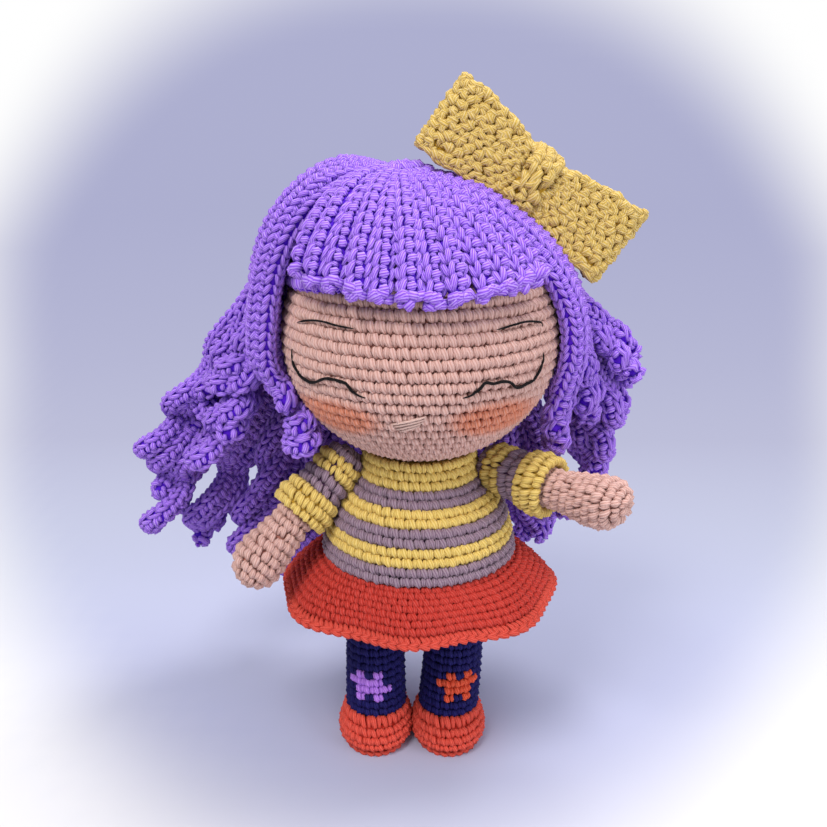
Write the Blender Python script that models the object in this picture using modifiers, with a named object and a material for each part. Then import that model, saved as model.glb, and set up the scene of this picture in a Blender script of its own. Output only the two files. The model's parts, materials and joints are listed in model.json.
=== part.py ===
"""A crocheted doll that stands about 0.2 m tall, with stuffed limbs, a strand wig, a skirt and a bow.

The doll faces -Y and stands on z = 0. Each arm turns about a level axis through its shoulder,
and the head, with the wig and the bow, turns about the doll's upright axis.
"""

import math

import bmesh
import bpy
from mathutils import Matrix, Vector

# Fits
GAP = 0.0003
FILLING_EASE = 0.0008
CAP_EASE = 0.0006
MERGE = 0.00001

# Crocheted cloth, thread and filling
FABRIC = 0.0023
THREAD_RADIUS = 0.00042
DOWEL_RADIUS = 0.003
DOWEL_EASE = 0.0004

# Where the doll's upright axis stands in the part's frame
AXIS_X = 0.0109
AXIS_Y = -0.0023

# Head
HEAD_RADIUS = 0.040
HEAD_RISE = 0.0380
HEAD_DROP = 0.0367
HEAD_PEG_DEPTH = 0.026
NECK_OPENING = 0.0095

# Legs and shoes
LEG_HEIGHT = 0.058
LEG_RADIUS = 0.0092
LEG_WAIST_RADIUS = 0.0088
LEG_SPREAD = 0.0121
LEGS_ASIDE = -0.0018
SHOE_HEIGHT = 0.0108
SHOE_HALF_WIDTH = 0.0113
SHOE_HALF_LENGTH = 0.0144
SHOE_FORWARD = 0.0011
SHOE_EDGE = 0.0026
INSOLE_THICKNESS = 0.0012
SHOE_SHARES = ((1, 0), (1, 0.45), (0.92, 0.75), (LEG_RADIUS / SHOE_HALF_WIDTH, 1))

# Body, from the neck down
BODY_HEIGHT = 0.0447
NECK_RADIUS = 0.0165
SHOULDER_RADIUS = 0.0182
SHOULDER_DROP = 0.0085
CHEST_RADIUS = 0.0232
CHEST_DROP = 0.0150
BELLY_RADIUS = 0.0290
BELLY_DROP = 0.0310
SEAT_RADIUS = 0.0250
SEAT_DROP = 0.0385
BODY_PEG_DEPTH = 0.024
WAIST_STEP = 0.0024

# Skirt
SKIRT_FRONT_LENGTH = 0.0150
SKIRT_SIDE_LENGTH = 0.0130
SKIRT_FRONT_RADIUS = 0.0358
SKIRT_SIDE_RADIUS = 0.0428
SKIRT_THICKNESS = 0.0020
SKIRT_WAVE = 0.0021
SKIRT_FOLDS = 7
SKIRT_PHASE_DEG = 25
SKIRT_FLARE_SHARE = 0.8
SKIRT_FALL_SHARE = 1.25
SKIRT_ROW_SHARES = (0, 0.16, 0.36, 0.58, 0.8, 1)

# Arms, with distances measured from the shoulder axis towards the hand
SHOULDER_X = 0.0252
SHOULDER_Y = -0.0036
ARM_DROP = 0.0062
RIGHT_ARM_FORWARD_DEG = 30
LEFT_ARM_FORWARD_DEG = 40
RIGHT_ARM_DROP_DEG = 42
LEFT_ARM_DROP_DEG = 4
ARM_CAP_RADIUS = 0.0069
SLEEVE_RADIUS = 0.0067
SLEEVE_END = 0.0098
CUFF_RADIUS = 0.0086
CUFF_START = 0.0122
CUFF_END = 0.0172
WRIST_RADIUS = 0.0060
HAND_RADIUS = 0.0075
HAND_CENTRE = 0.0360
CAP_TURN_SHARES = (0, 0.25, 0.5, 0.75, 1)
HAND_TURN_SHARES = (0, 0.25, 0.5, 0.75)
PALM_TURN_SHARES = (0, 0.33, 0.66)

# Wig
STRAND_THICKNESS = 0.0050
LOCK_WIDTH = 0.0096
FRINGE_WIDTH = 0.0130
ROOT_THICKNESS = 0.0026
CAP_EDGE_DEG = 60
CROWN_DEG = 11
CROWN_CLEAR_DEG = 1.5
CROWN_LEAN_DEG = 7
CROWN_LIFT = 0.0024
CROWN_LIFT_DEG = 45
RIGHT_LIFT = 0.0065
LEFT_LIFT = 0.0022
SIDE_LIFT_DEG = 35
SIDE_LIFT_REACH_DEG = 50
FACE_EDGE_DEG = 72
LOCK_GAP = 0.0005
LOCK_START_SHARE = 0.9
LOCK_FALL_SHARE = 0.7
LOCK_SWING_SHARE = 0.3
LOCK_STEP_SHARES = (0.14, 0.3, 0.47, 0.64, 0.8, 0.93, 1)
LOCK_END_SHARES = (0.45, 0.9)
KNOT_SHARES = ((0, 1.2), (0.5, 1.1), (0.85, 0.8), (1, 0.3))

# Bow, seen along its own length, height and depth
BOW_LOOP_LENGTH = 0.0290
BOW_END_HEIGHT = 0.0240
BOW_WAIST_HEIGHT = 0.0120
BOW_DEPTH = 0.0092
BOW_WAIST_DEPTH = 0.0062
BOW_BAND_WIDTH = 0.0090
BOW_ANGLE_DEG = 36
BOW_OFF_CROWN_DEG = 35
BOW_LIFT = 0.0007
BOW_REACH_SHARES = (0, 0.35, 0.7, 1)
BAND_CORNER_SHARE = 1.08
BAND_ROUND_SHARE = 0.25

# Embroidery
STITCH_PROUD = 0.0002

ROUND_STEPS = 28
LIMB_STEPS = 18
SKIRT_STEPS = 42
LOCK_SIDES = 8
SHARP_DEG = 40

# The hems of the fringe, in shares of the head's radius above the head's centre, doll's right to left
FRINGE_HEM_SHARES = (0.455, 0.405, 0.37, 0.37, 0.40, 0.445)
FRINGE_SPAN_DEG = 108

# Long locks, from the face's edge to the back. The first three are each tip's place in shares of the
# head's radius, sideways, back and below the head's centre. The last one is how far down from the
# crown, in degrees, the lock leaves the head. The doll's right side comes first.
RIGHT_LOCKS = (
    (0.89, -0.06, 0.82, 96),
    (1.48, 0.10, 0.80, 76),
    (1.70, 0.28, 1.10, 60),
    (2.14, 0.46, 1.46, 51),
    (2.18, 0.61, 1.84, 52),
    (1.90, 0.85, 2.10, 57),
    (1.53, 1.04, 2.34, 63.5),
    (1.06, 1.17, 2.56, 73),
)
LEFT_LOCKS = (
    (1.06, 0.02, 0.92, 94),
    (1.34, 0.16, 0.76, 80),
    (1.62, 0.26, 0.46, 70),
    (1.60, 0.42, 0.92, 70),
    (1.56, 0.54, 1.22, 74),
    (1.50, 0.66, 1.44, 80),
    (1.26, 0.82, 1.88, 84),
    (1.02, 1.02, 2.20, 90),
)
BACK_LOCKS = (
    (0.60, 1.04, 2.12, 94),
    (0.31, 1.08, 2.22, 94),
    (0.03, 1.10, 2.12, 94),
    (-0.28, 1.08, 2.22, 94),
    (-0.55, 1.05, 2.14, 86),
)

# Closed eyes, brows and nose: sideways and upwards from the head's centre, in shares of its radius
EYE_SHARES = {
    "right": (
        (-0.870, -0.006), (-0.866, -0.092), (-0.837, -0.148), (-0.783, -0.188), (-0.713, -0.187),
        (-0.644, -0.144), (-0.607, -0.128), (-0.537, -0.128), (-0.482, -0.140), (-0.436, -0.191),
        (-0.389, -0.213), (-0.356, -0.224),
    ),
    "left": (
        (0.811, 0.005), (0.815, -0.053), (0.795, -0.105), (0.760, -0.161), (0.692, -0.186),
        (0.626, -0.191), (0.579, -0.143), (0.522, -0.125), (0.467, -0.131), (0.412, -0.116),
        (0.373, -0.154), (0.321, -0.193), (0.268, -0.210),
    ),
}
BROW_SHARES = {
    "right": ((-0.826, 0.185), (-0.732, 0.222), (-0.637, 0.235), (-0.532, 0.226), (-0.424, 0.221)),
    "left": ((0.806, 0.175), (0.782, 0.207), (0.689, 0.233), (0.595, 0.230), (0.477, 0.214)),
}
NOSE_SHARES = ((-0.185, -0.434), (-0.076, -0.402), (0.030, -0.368))
NOSE_RADIUS = 0.0009

BODY_TOP = LEG_HEIGHT + BODY_HEIGHT
SHOULDER_Z = BODY_TOP - ARM_DROP
CAP_OUTSIDE = CAP_EASE + FABRIC
STRAND_INSIDE = CAP_OUTSIDE + GAP
HAIR_OUTSIDE = STRAND_INSIDE + STRAND_THICKNESS

COLOURS = {
    "skin": (0.80, 0.55, 0.43),
    "hair": (0.38, 0.16, 0.80),
    "yellow": (0.82, 0.60, 0.14),
    "stripe": (0.30, 0.20, 0.24),
    "skirt": (0.78, 0.10, 0.05),
    "legging": (0.03, 0.01, 0.16),
    "shoe": (0.85, 0.20, 0.10),
    "thread": (0.02, 0.01, 0.01),
    "filling": (0.86, 0.85, 0.82),
    "wood": (0.62, 0.42, 0.22),
    "plastic": (0.80, 0.80, 0.78),
}


def clear_scene():
    for old in list(bpy.data.objects):
        bpy.data.objects.remove(old, do_unlink=True)


def material(name):
    """One Principled material for each kind of yarn, thread, filling, wood or plastic."""
    found = bpy.data.materials.get(name)
    if found:
        return found
    made = bpy.data.materials.new(name)
    made.use_nodes = True
    shader = made.node_tree.nodes["Principled BSDF"]
    shader.inputs["Base Color"].default_value = (*COLOURS[name], 1)
    shader.inputs["Roughness"].default_value = 0.85
    shader.inputs["Metallic"].default_value = 0
    made.diffuse_color = (*COLOURS[name], 1)
    return made


def add_object(name, data, colour, parent):
    made = bpy.data.objects.new(name, data)
    data.materials.append(material(colour))
    doll.objects.link(made)
    made.parent = parent
    return made


def add_empty(name, parent=None, at=(0, 0, 0)):
    made = bpy.data.objects.new(name, None)
    made.empty_display_size = NECK_RADIUS
    doll.objects.link(made)
    made.parent = parent
    made.location = at
    return made


def turned(name, profile, colour, parent, steps=ROUND_STEPS):
    """A closed solid turned about Z: the profile's (radius, height) points end on the axis or meet."""
    data = bpy.data.meshes.new(name)
    ends_on_axis = profile[0][0] == 0 and profile[-1][0] == 0
    edges = [(i, i + 1) for i in range(len(profile) - 1)]
    if not ends_on_axis:
        edges.append((len(profile) - 1, 0))
    data.from_pydata([(radius, 0, height) for radius, height in profile], edges, [])
    made = add_object(name, data, colour, parent)
    screw = made.modifiers.new("turn", "SCREW")
    screw.steps = steps
    screw.render_steps = steps
    screw.use_merge_vertices = True
    screw.merge_threshold = MERGE
    screw.use_smooth_shade = True
    return made


def lofted(name, rings, colour, parent, closed=False):
    """A solid through rings of points: its ends are capped, or the last ring meets the first."""
    data = bpy.data.meshes.new(name)
    built = bmesh.new()
    loops = [[built.verts.new(point) for point in ring] for ring in rings]
    pairs = list(zip(loops, loops[1:]))
    if closed:
        pairs.append((loops[-1], loops[0]))
    for near, far in pairs:
        for i in range(len(near)):
            j = (i + 1) % len(near)
            built.faces.new((near[i], near[j], far[j], far[i]))
    if not closed:
        built.faces.new(loops[0][::-1])
        built.faces.new(loops[-1])
    bmesh.ops.recalc_face_normals(built, faces=built.faces)
    built.to_mesh(data)
    built.free()
    data.shade_smooth()
    return add_object(name, data, colour, parent)


def thread(name, points, colour, parent, radius=THREAD_RADIUS):
    """A laid thread: a tube along the points."""
    data = bpy.data.curves.new(name, "CURVE")
    data.dimensions = "3D"
    data.bevel_depth = radius
    data.bevel_resolution = 1
    data.use_fill_caps = True
    line = data.splines.new("POLY")
    line.points.add(len(points) - 1)
    for spot, point in zip(line.points, points):
        spot.co = (*point, 1)
    return add_object(name, data, colour, parent)


def smooth_steps(values, count):
    """The values read off a smooth curve, at evenly spaced places."""
    found = []
    last = len(values) - 1
    for step in range(count):
        place = last * step / (count - 1)
        i = min(int(place), last - 1)
        t = place - i
        before, here = values[max(i - 1, 0)], values[i]
        after, beyond = values[i + 1], values[min(i + 2, last)]
        found.append(tuple(
            b + t * ((c - a) / 2 + t * (a - 2.5 * b + 2 * c - d / 2 + t * (1.5 * (b - c) + (d - a) / 2)))
            for a, b, c, d in zip(before, here, after, beyond)
        ))
    return found


def head_point(polar_deg, azimuth_deg, proud):
    """A point that stands proud of the head: polar from the crown, azimuth from the front to +X."""
    polar, azimuth = math.radians(polar_deg), math.radians(azimuth_deg)
    rise = (HEAD_RISE if polar_deg < 90 else HEAD_DROP) + proud
    reach = (HEAD_RADIUS + proud) * math.sin(polar)
    return Vector((reach * math.sin(azimuth), -reach * math.cos(azimuth), rise * math.cos(polar)))


def head_arc(inset, start_deg, end_deg, steps):
    """(radius, height) points of the head's own curve, inset from it."""
    points = []
    for step in range(steps + 1):
        point = head_point(start_deg + (end_deg - start_deg) * step / steps, 90, -inset)
        points.append((0 if step == 0 and start_deg == 0 else point.x, point.z))
    return points


def neck_angle(inset, radius):
    return 180 - math.degrees(math.asin(radius / (HEAD_RADIUS - inset)))


def build_head(head):
    outer = head_arc(0, 0, neck_angle(0, NECK_OPENING), 15)
    inner = head_arc(FABRIC, 0, neck_angle(FABRIC, NECK_OPENING), 12)
    turned("head_cover", outer + inner[::-1], "skin", head, ROUND_STEPS + 4)
    inset = FABRIC + FILLING_EASE
    hole = DOWEL_RADIUS + DOWEL_EASE
    filling = head_arc(inset, 0, neck_angle(inset, NECK_OPENING), 10)
    foot = filling[-1][1]
    filling += [(hole, foot), (hole, foot + HEAD_PEG_DEPTH), (0, foot + HEAD_PEG_DEPTH)]
    turned("head_filling", filling, "filling", head)


def body_profile(inset):
    """(radius, height) points of the sweater's outside, from the neck down to the crotch."""
    points = [
        (NECK_RADIUS, 0),
        (NECK_RADIUS, SHOULDER_DROP / 3),
        (SHOULDER_RADIUS, SHOULDER_DROP),
        (CHEST_RADIUS, CHEST_DROP),
        ((CHEST_RADIUS + BELLY_RADIUS) / 2 + GAP, (CHEST_DROP + BELLY_DROP) / 2 - WAIST_STEP),
        (BELLY_RADIUS, BELLY_DROP),
        (BELLY_RADIUS - GAP, BELLY_DROP + WAIST_STEP),
    ]
    return [(radius - inset, BODY_TOP - drop) for radius, drop in points]


def seat_profile(inset):
    """(radius, height) points from under the waist step to the middle of the crotch."""
    floor = LEG_HEIGHT + inset
    step = BODY_TOP - BELLY_DROP - WAIST_STEP
    return [
        (BELLY_RADIUS - WAIST_STEP - inset, step - GAP),
        (SEAT_RADIUS - inset, BODY_TOP - SEAT_DROP),
        (SEAT_RADIUS - WAIST_STEP - inset, floor),
        (0, floor),
    ]


def build_body(root):
    outside = [(NECK_OPENING, BODY_TOP)] + body_profile(0) + seat_profile(0)
    inside = body_profile(FABRIC) + seat_profile(FABRIC)
    inside = [(NECK_OPENING, BODY_TOP - FABRIC)] + inside[1:6] + inside[7:]
    turned("body_cover", inside[::-1] + outside, "yellow", root)
    inset = FABRIC + GAP
    hole = DOWEL_RADIUS + DOWEL_EASE
    top = BODY_TOP - GAP
    filling = body_profile(inset) + seat_profile(inset)
    collar = NECK_OPENING - GAP
    filling = [(collar, top), (collar, BODY_TOP - inset)] + filling[1:6] + filling[7:]
    socket = [(0, top - BODY_PEG_DEPTH), (hole, top - BODY_PEG_DEPTH), (hole, top)]
    turned("body_filling", socket + filling, "filling", root)


def cylinder(name, radius, height, colour, parent, at):
    bpy.ops.mesh.primitive_cylinder_add(vertices=LIMB_STEPS, radius=radius, depth=height)
    made = bpy.context.object
    made.name = name
    for old in list(made.users_collection):
        old.objects.unlink(made)
    doll.objects.link(made)
    made.data.materials.append(material(colour))
    made.data.shade_smooth()
    made.data.set_sharp_from_angle(angle=math.radians(SHARP_DEG))
    made.parent = parent
    made.location = at
    return made


def build_neck_dowel(root, head_foot):
    low = BODY_TOP - BODY_PEG_DEPTH
    high = head_foot + HEAD_PEG_DEPTH - GAP
    cylinder("neck_dowel", DOWEL_RADIUS, high - low, "wood", root, (0, 0, (high + low) / 2))


def skirt_point(share, azimuth):
    """A point of the skirt's middle surface, from 0 at the waist to 1 at the hem."""
    waist = BELLY_RADIUS - WAIST_STEP + GAP + SKIRT_THICKNESS / 2
    aside = math.cos(azimuth) ** 2
    hem = SKIRT_FRONT_RADIUS + (SKIRT_SIDE_RADIUS - SKIRT_FRONT_RADIUS) * aside
    length = SKIRT_FRONT_LENGTH + (SKIRT_SIDE_LENGTH - SKIRT_FRONT_LENGTH) * aside
    wave = SKIRT_WAVE * share * math.sin(SKIRT_FOLDS * azimuth + math.radians(SKIRT_PHASE_DEG))
    radius = waist + (hem - waist) * share ** SKIRT_FLARE_SHARE + wave
    top = BODY_TOP - BELLY_DROP - WAIST_STEP - GAP - SKIRT_THICKNESS / 2
    height = top - length * share ** SKIRT_FALL_SHARE
    return (radius * math.cos(azimuth), radius * math.sin(azimuth), height)


def build_skirt(root):
    data = bpy.data.meshes.new("skirt")
    built = bmesh.new()
    rows = []
    turn = 2 * math.pi / SKIRT_STEPS
    for share in SKIRT_ROW_SHARES:
        rows.append([built.verts.new(skirt_point(share, turn * i)) for i in range(SKIRT_STEPS)])
    for upper, lower in zip(rows, rows[1:]):
        for i in range(SKIRT_STEPS):
            j = (i + 1) % SKIRT_STEPS
            built.faces.new((lower[i], lower[j], upper[j], upper[i]))
    built.to_mesh(data)
    built.free()
    data.shade_smooth()
    made = add_object("skirt", data, "skirt", root)
    cloth = made.modifiers.new("cloth", "SOLIDIFY")
    cloth.thickness = SKIRT_THICKNESS
    cloth.offset = 0


def ellipse(centre_y, height, half_width, half_length, steps=LIMB_STEPS):
    turn = 2 * math.pi / steps
    return [
        (half_width * math.cos(turn * i), centre_y + half_length * math.sin(turn * i), height)
        for i in range(steps)
    ]


def build_leg(side, sign, root):
    leg = add_empty(side + "_leg", root, (LEGS_ASIDE + sign * LEG_SPREAD, 0, 0))
    top = LEG_HEIGHT - GAP
    foot = SHOE_HEIGHT + GAP
    middle = (top + foot) / 2
    outer = [(LEG_RADIUS, top), (LEG_WAIST_RADIUS, middle), (LEG_RADIUS, foot)]
    inner = [(radius - FABRIC, height) for radius, height in outer]
    turned(side + "_legging", outer + inner[::-1], "legging", leg, LIMB_STEPS)
    inset = FABRIC + GAP
    base = FABRIC + GAP + INSOLE_THICKNESS + GAP
    filling = [(0, top)] + [(radius - inset, height) for radius, height in outer]
    filling += [(LEG_RADIUS - inset, base), (0, base)]
    turned(side + "_leg_filling", filling, "filling", leg, LIMB_STEPS)

    # The shoe is an oval cup that draws in to the round leg.
    half_width, half_length = SHOE_HALF_WIDTH - SHOE_EDGE, SHOE_HALF_LENGTH - SHOE_EDGE
    outside = [ellipse(-SHOE_FORWARD, 0, half_width, half_length)]
    inside = []
    narrowest = SHOE_SHARES[-1][0]
    for share, rise in SHOE_SHARES:
        forward = SHOE_FORWARD * (1 - rise ** 2)
        height = SHOE_EDGE + (SHOE_HEIGHT - SHOE_EDGE) * rise
        half_width = SHOE_HALF_WIDTH * share
        half_length = LEG_RADIUS + (SHOE_HALF_LENGTH - LEG_RADIUS) * (share - narrowest) / (1 - narrowest)
        outside.append(ellipse(-forward, height, half_width, half_length))
        inside.append(ellipse(-forward, height, half_width - FABRIC, half_length - FABRIC))
    floor = [(x, y, FABRIC) for x, y, z in inside[0]]
    lofted(side + "_shoe", outside + inside[:0:-1] + [floor], "shoe", leg)

    inset = FABRIC + 3 * GAP
    height = FABRIC + GAP + INSOLE_THICKNESS / 2
    half_width = SHOE_HALF_WIDTH - inset
    at = (0, -SHOE_FORWARD, height)
    insole = cylinder(side + "_insole", half_width, INSOLE_THICKNESS, "plastic", leg, at)
    insole.data.transform(Matrix.Diagonal((1, (SHOE_HALF_LENGTH - inset) / half_width, 1, 1)))


def build_arm(side, sign, forward_deg, drop_deg, root):
    forward, drop = math.radians(forward_deg), math.radians(drop_deg)
    level = math.cos(drop)
    way = Vector((sign * level * math.cos(forward), -level * math.sin(forward), -math.sin(drop)))
    arm = add_empty(side + "_arm", root, (sign * SHOULDER_X, SHOULDER_Y, SHOULDER_Z))
    arm.rotation_mode = "QUATERNION"
    arm.rotation_quaternion = Vector((0, 0, -1)).rotation_difference(way)

    # Heights run down from the shoulder axis, so that each point lies at minus its distance.
    quarter = math.pi / 2
    dome = [(math.sin(quarter * share), math.cos(quarter * share)) for share in CAP_TURN_SHARES]
    sleeve = [(ARM_CAP_RADIUS * across, ARM_CAP_RADIUS * along) for across, along in dome]
    inner_cap = ARM_CAP_RADIUS - FABRIC
    lining = [(inner_cap * across, inner_cap * along) for across, along in dome]
    sleeve += [
        (SLEEVE_RADIUS, -SLEEVE_END),
        (CUFF_RADIUS, -CUFF_START),
        (CUFF_RADIUS, -(CUFF_START + CUFF_END) / 2),
        (CUFF_RADIUS - GAP, -CUFF_END),
    ]
    cuff_inside = WRIST_RADIUS + GAP
    ledge = CUFF_START + GAP
    bore = SLEEVE_RADIUS - FABRIC
    lining += [(bore, -SLEEVE_END), (bore, -ledge), (cuff_inside, -ledge), (cuff_inside, -CUFF_END)]
    turned(side + "_sleeve", sleeve + lining[::-1], "yellow", arm, LIMB_STEPS)

    def fingertips(radius, shares):
        """The round end of the hand, from its side to its tip."""
        return [
            (radius * math.cos(quarter * share), -HAND_CENTRE - radius * math.sin(quarter * share))
            for share in shares
        ] + [(0, -HAND_CENTRE - radius)]

    start = ledge + GAP
    swell = (HAND_CENTRE + CUFF_END) / 2
    forearm = (WRIST_RADIUS + HAND_RADIUS) / 2
    skin = [(WRIST_RADIUS, -start), (WRIST_RADIUS, -CUFF_END), (forearm, -swell)]
    skin += fingertips(HAND_RADIUS, HAND_TURN_SHARES)
    inside = [(WRIST_RADIUS - FABRIC, -start), (forearm - FABRIC, -swell)]
    inside += fingertips(HAND_RADIUS - FABRIC, PALM_TURN_SHARES)
    turned(side + "_hand", inside[::-1] + skin, "skin", arm, LIMB_STEPS)

    core = inner_cap - GAP
    inset = FABRIC + GAP
    filling = [(core * across, core * along) for across, along in dome]
    filling += [(bore - GAP, -SLEEVE_END), (WRIST_RADIUS - inset, -start), (forearm - inset, -swell)]
    filling += fingertips(HAND_RADIUS - inset, PALM_TURN_SHARES)
    turned(side + "_arm_filling", filling, "filling", arm, LIMB_STEPS)


def build_wig_cap(head):
    """A cap over the crown, with a thick worked centre that the strands start from."""
    rim = CROWN_DEG - CROWN_CLEAR_DEG
    knot = [head_point(rim * turn, 90, CAP_OUTSIDE + STRAND_THICKNESS * lift) for turn, lift in KNOT_SHARES]
    outer = [(0 if i == 0 else point.x, point.z) for i, point in enumerate(knot)]
    outer += head_arc(-CAP_OUTSIDE, rim, CAP_EDGE_DEG, 7)
    inner = head_arc(-CAP_EASE, 0, CAP_EDGE_DEG, 8)
    cap = turned("wig_cap", outer + inner[::-1], "hair", head)
    cap.rotation_euler = (0, -math.radians(CROWN_LEAN_DEG), 0)


def fading(polar_deg, middle_deg, reach_deg):
    """1 at the middle, and 0 from the reach on, either way."""
    away = min(1, abs(polar_deg - middle_deg) / reach_deg)
    return math.cos(away * math.pi / 2) ** 2


def hair_lift(polar_deg, azimuth_deg):
    """The strands bunch up round the crown and on the doll's right, and lie flatter on its left."""
    aside = math.sin(math.radians(azimuth_deg))
    side = LEFT_LIFT if aside > 0 else RIGHT_LIFT
    lift = CROWN_LIFT * fading(polar_deg, 0, CROWN_LIFT_DEG)
    return lift - side * aside * fading(polar_deg, SIDE_LIFT_DEG, SIDE_LIFT_REACH_DEG)


def crown_lean(polar_deg, leave_deg):
    """The crown sits to the doll's right of the head's top, and the strands even that out."""
    share = 1 - polar_deg / leave_deg
    return Matrix.Rotation(-math.radians(CROWN_LEAN_DEG) * share, 4, "Y")


def lock_section(point, along, outward, half_width, half_depth):
    """A flattened eight-sided ring round the lock's middle line."""
    across = along.cross(outward).normalized()
    outward = across.cross(along).normalized()
    ring = []
    corner = 1 / math.cos(math.pi / LOCK_SIDES)
    for i in range(LOCK_SIDES):
        turn = 2 * math.pi * (i + 0.5) / LOCK_SIDES
        aside = across * half_width * corner * math.cos(turn)
        ring.append(point + aside + outward * half_depth * corner * math.sin(turn))
    return ring


def build_lock(name, head, azimuth, leave_azimuth, spread_deg, leave_deg, full_width, tip=None):
    """A pair of strands side by side: over the cap, then, with a tip, free down to it."""
    places = []
    steps = 8 if tip else 7
    for step in range(steps + 1):
        polar = CROWN_DEG + (leave_deg - CROWN_DEG) * step / steps
        lean = crown_lean(polar, leave_deg)
        reach = (HEAD_RADIUS + STRAND_INSIDE) * math.sin(math.radians(polar))
        width = min(full_width, 2 * math.tan(math.radians(spread_deg) / 2) * reach - LOCK_GAP)
        turn = azimuth + (leave_azimuth - azimuth) * step / steps
        depth = min(STRAND_THICKNESS, ROOT_THICKNESS + (STRAND_THICKNESS - ROOT_THICKNESS) * step / 3)
        depth += hair_lift(polar, turn)
        point = lean @ head_point(polar, turn, STRAND_INSIDE + depth / 2)
        ahead = lean @ head_point(polar + 1, turn, STRAND_INSIDE + depth / 2)
        places.append((point, (ahead - point).normalized(), point.normalized(), width, depth))
    if tip:
        start, along = places[-1][0], places[-1][1]
        reach = (tip - start).length
        outward = Vector((tip.x, tip.y, 0)).normalized()
        first = along * reach * LOCK_START_SHARE
        last = reach * (outward * LOCK_SWING_SHARE - Vector((0, 0, LOCK_FALL_SHARE)))
        facing = Vector((0, -1 if tip.y < 0 else 1, 0))
        leave_width, leave_depth = places[-1][3], places[-1][4]
        for t in LOCK_STEP_SHARES:
            point = start * (2 * t ** 3 - 3 * t ** 2 + 1) + first * (t ** 3 - 2 * t ** 2 + t)
            point += tip * (3 * t ** 2 - 2 * t ** 3) + last * (t ** 3 - t ** 2)
            slope = start * (6 * t * t - 6 * t) + first * (3 * t * t - 4 * t + 1)
            slope += tip * (6 * t - 6 * t * t) + last * (3 * t * t - 2 * t)
            side = Vector((point.x, point.y, 0)).normalized().lerp(facing, t)
            width = leave_width + (full_width - leave_width) * t ** 2
            depth = leave_depth + (STRAND_THICKNESS - leave_depth) * t
            places.append((point, slope.normalized(), side, width, depth))
    rings = []
    for i, (point, along, outward, width, depth) in enumerate(places):
        left = len(places) - 1 - i
        shrink = LOCK_END_SHARES[left] if left < len(LOCK_END_SHARES) else 1
        rings.append(lock_section(point, along, outward, width / 2 * shrink, depth / 2 * shrink))
    lofted(name, rings, "hair", head)


def build_wig(head):
    build_wig_cap(head)
    count = len(FRINGE_HEM_SHARES)
    spread = FRINGE_SPAN_DEG / count
    for i, share in enumerate(FRINGE_HEM_SHARES):
        azimuth = -FRINGE_SPAN_DEG / 2 + spread * (i + 0.5)
        hem = math.degrees(math.acos(share * HEAD_RADIUS / (HEAD_RISE + STRAND_INSIDE)))
        build_lock(f"fringe_{i + 1}", head, azimuth, azimuth, spread, hem, FRINGE_WIDTH)

    # The long locks share the circle that the fringe leaves free, and draw back below the face's edge.
    long_locks = [("left", 1, place) for place in LEFT_LOCKS]
    long_locks += [("back", 1, place) for place in BACK_LOCKS]
    long_locks += [("right", -1, place) for place in RIGHT_LOCKS[::-1]]
    circle = 360 - FRINGE_SPAN_DEG
    spread = circle / len(long_locks)
    draw_back = (180 - FACE_EDGE_DEG) / (circle / 2)
    numbers = {"left": 0, "back": 0, "right": len(RIGHT_LOCKS) + 1}
    for i, (side, sign, (aside, behind, below, leave_deg)) in enumerate(long_locks):
        azimuth = FRINGE_SPAN_DEG / 2 + spread * (i + 0.5)
        leave = 180 + (azimuth - 180) * draw_back
        numbers[side] += -1 if side == "right" else 1
        tip = HEAD_RADIUS * Vector((sign * aside, behind, -below))
        name = f"{side}_lock_{numbers[side]}"
        build_lock(name, head, azimuth, leave, spread * draw_back, leave_deg, LOCK_WIDTH, tip)


def bow_loop(name, sign, bow):
    """A folded band: out along the front, round the end and back, with open top and bottom edges."""
    start = BOW_BAND_WIDTH / 2 - FABRIC
    corner = BOW_DEPTH / 2
    front = []
    for share in BOW_REACH_SHARES:
        depth = BOW_WAIST_DEPTH + (BOW_DEPTH - BOW_WAIST_DEPTH) * share
        front.append((start + (BOW_LOOP_LENGTH - start) * share, depth / 2, share, (0, 1)))
    rings = list(front)
    for step in range(1, 6):
        turn = math.pi / 2 - math.pi * step / 6
        away = (math.cos(turn), math.sin(turn))
        rings.append((BOW_LOOP_LENGTH + corner * away[0], corner * away[1], 1, away))
    rings += [(reach, -depth, share, (0, -1)) for reach, depth, share, away in front[::-1]]
    sections = []
    for reach, depth, share, away in rings:
        swell = math.sin(share * math.pi / 2)
        high = (BOW_WAIST_HEIGHT + (BOW_END_HEIGHT - BOW_WAIST_HEIGHT) * swell) / 2 - GAP
        outer = Vector((reach, depth))
        inner = outer - Vector(away) * FABRIC
        corners = ((outer, high), (outer, -high), (inner, -high), (inner, high))
        sections.append([Vector((sign * place.x, -place.y, up)) for place, up in corners])
    lofted(name, sections, "yellow", bow, closed=True)


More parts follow.
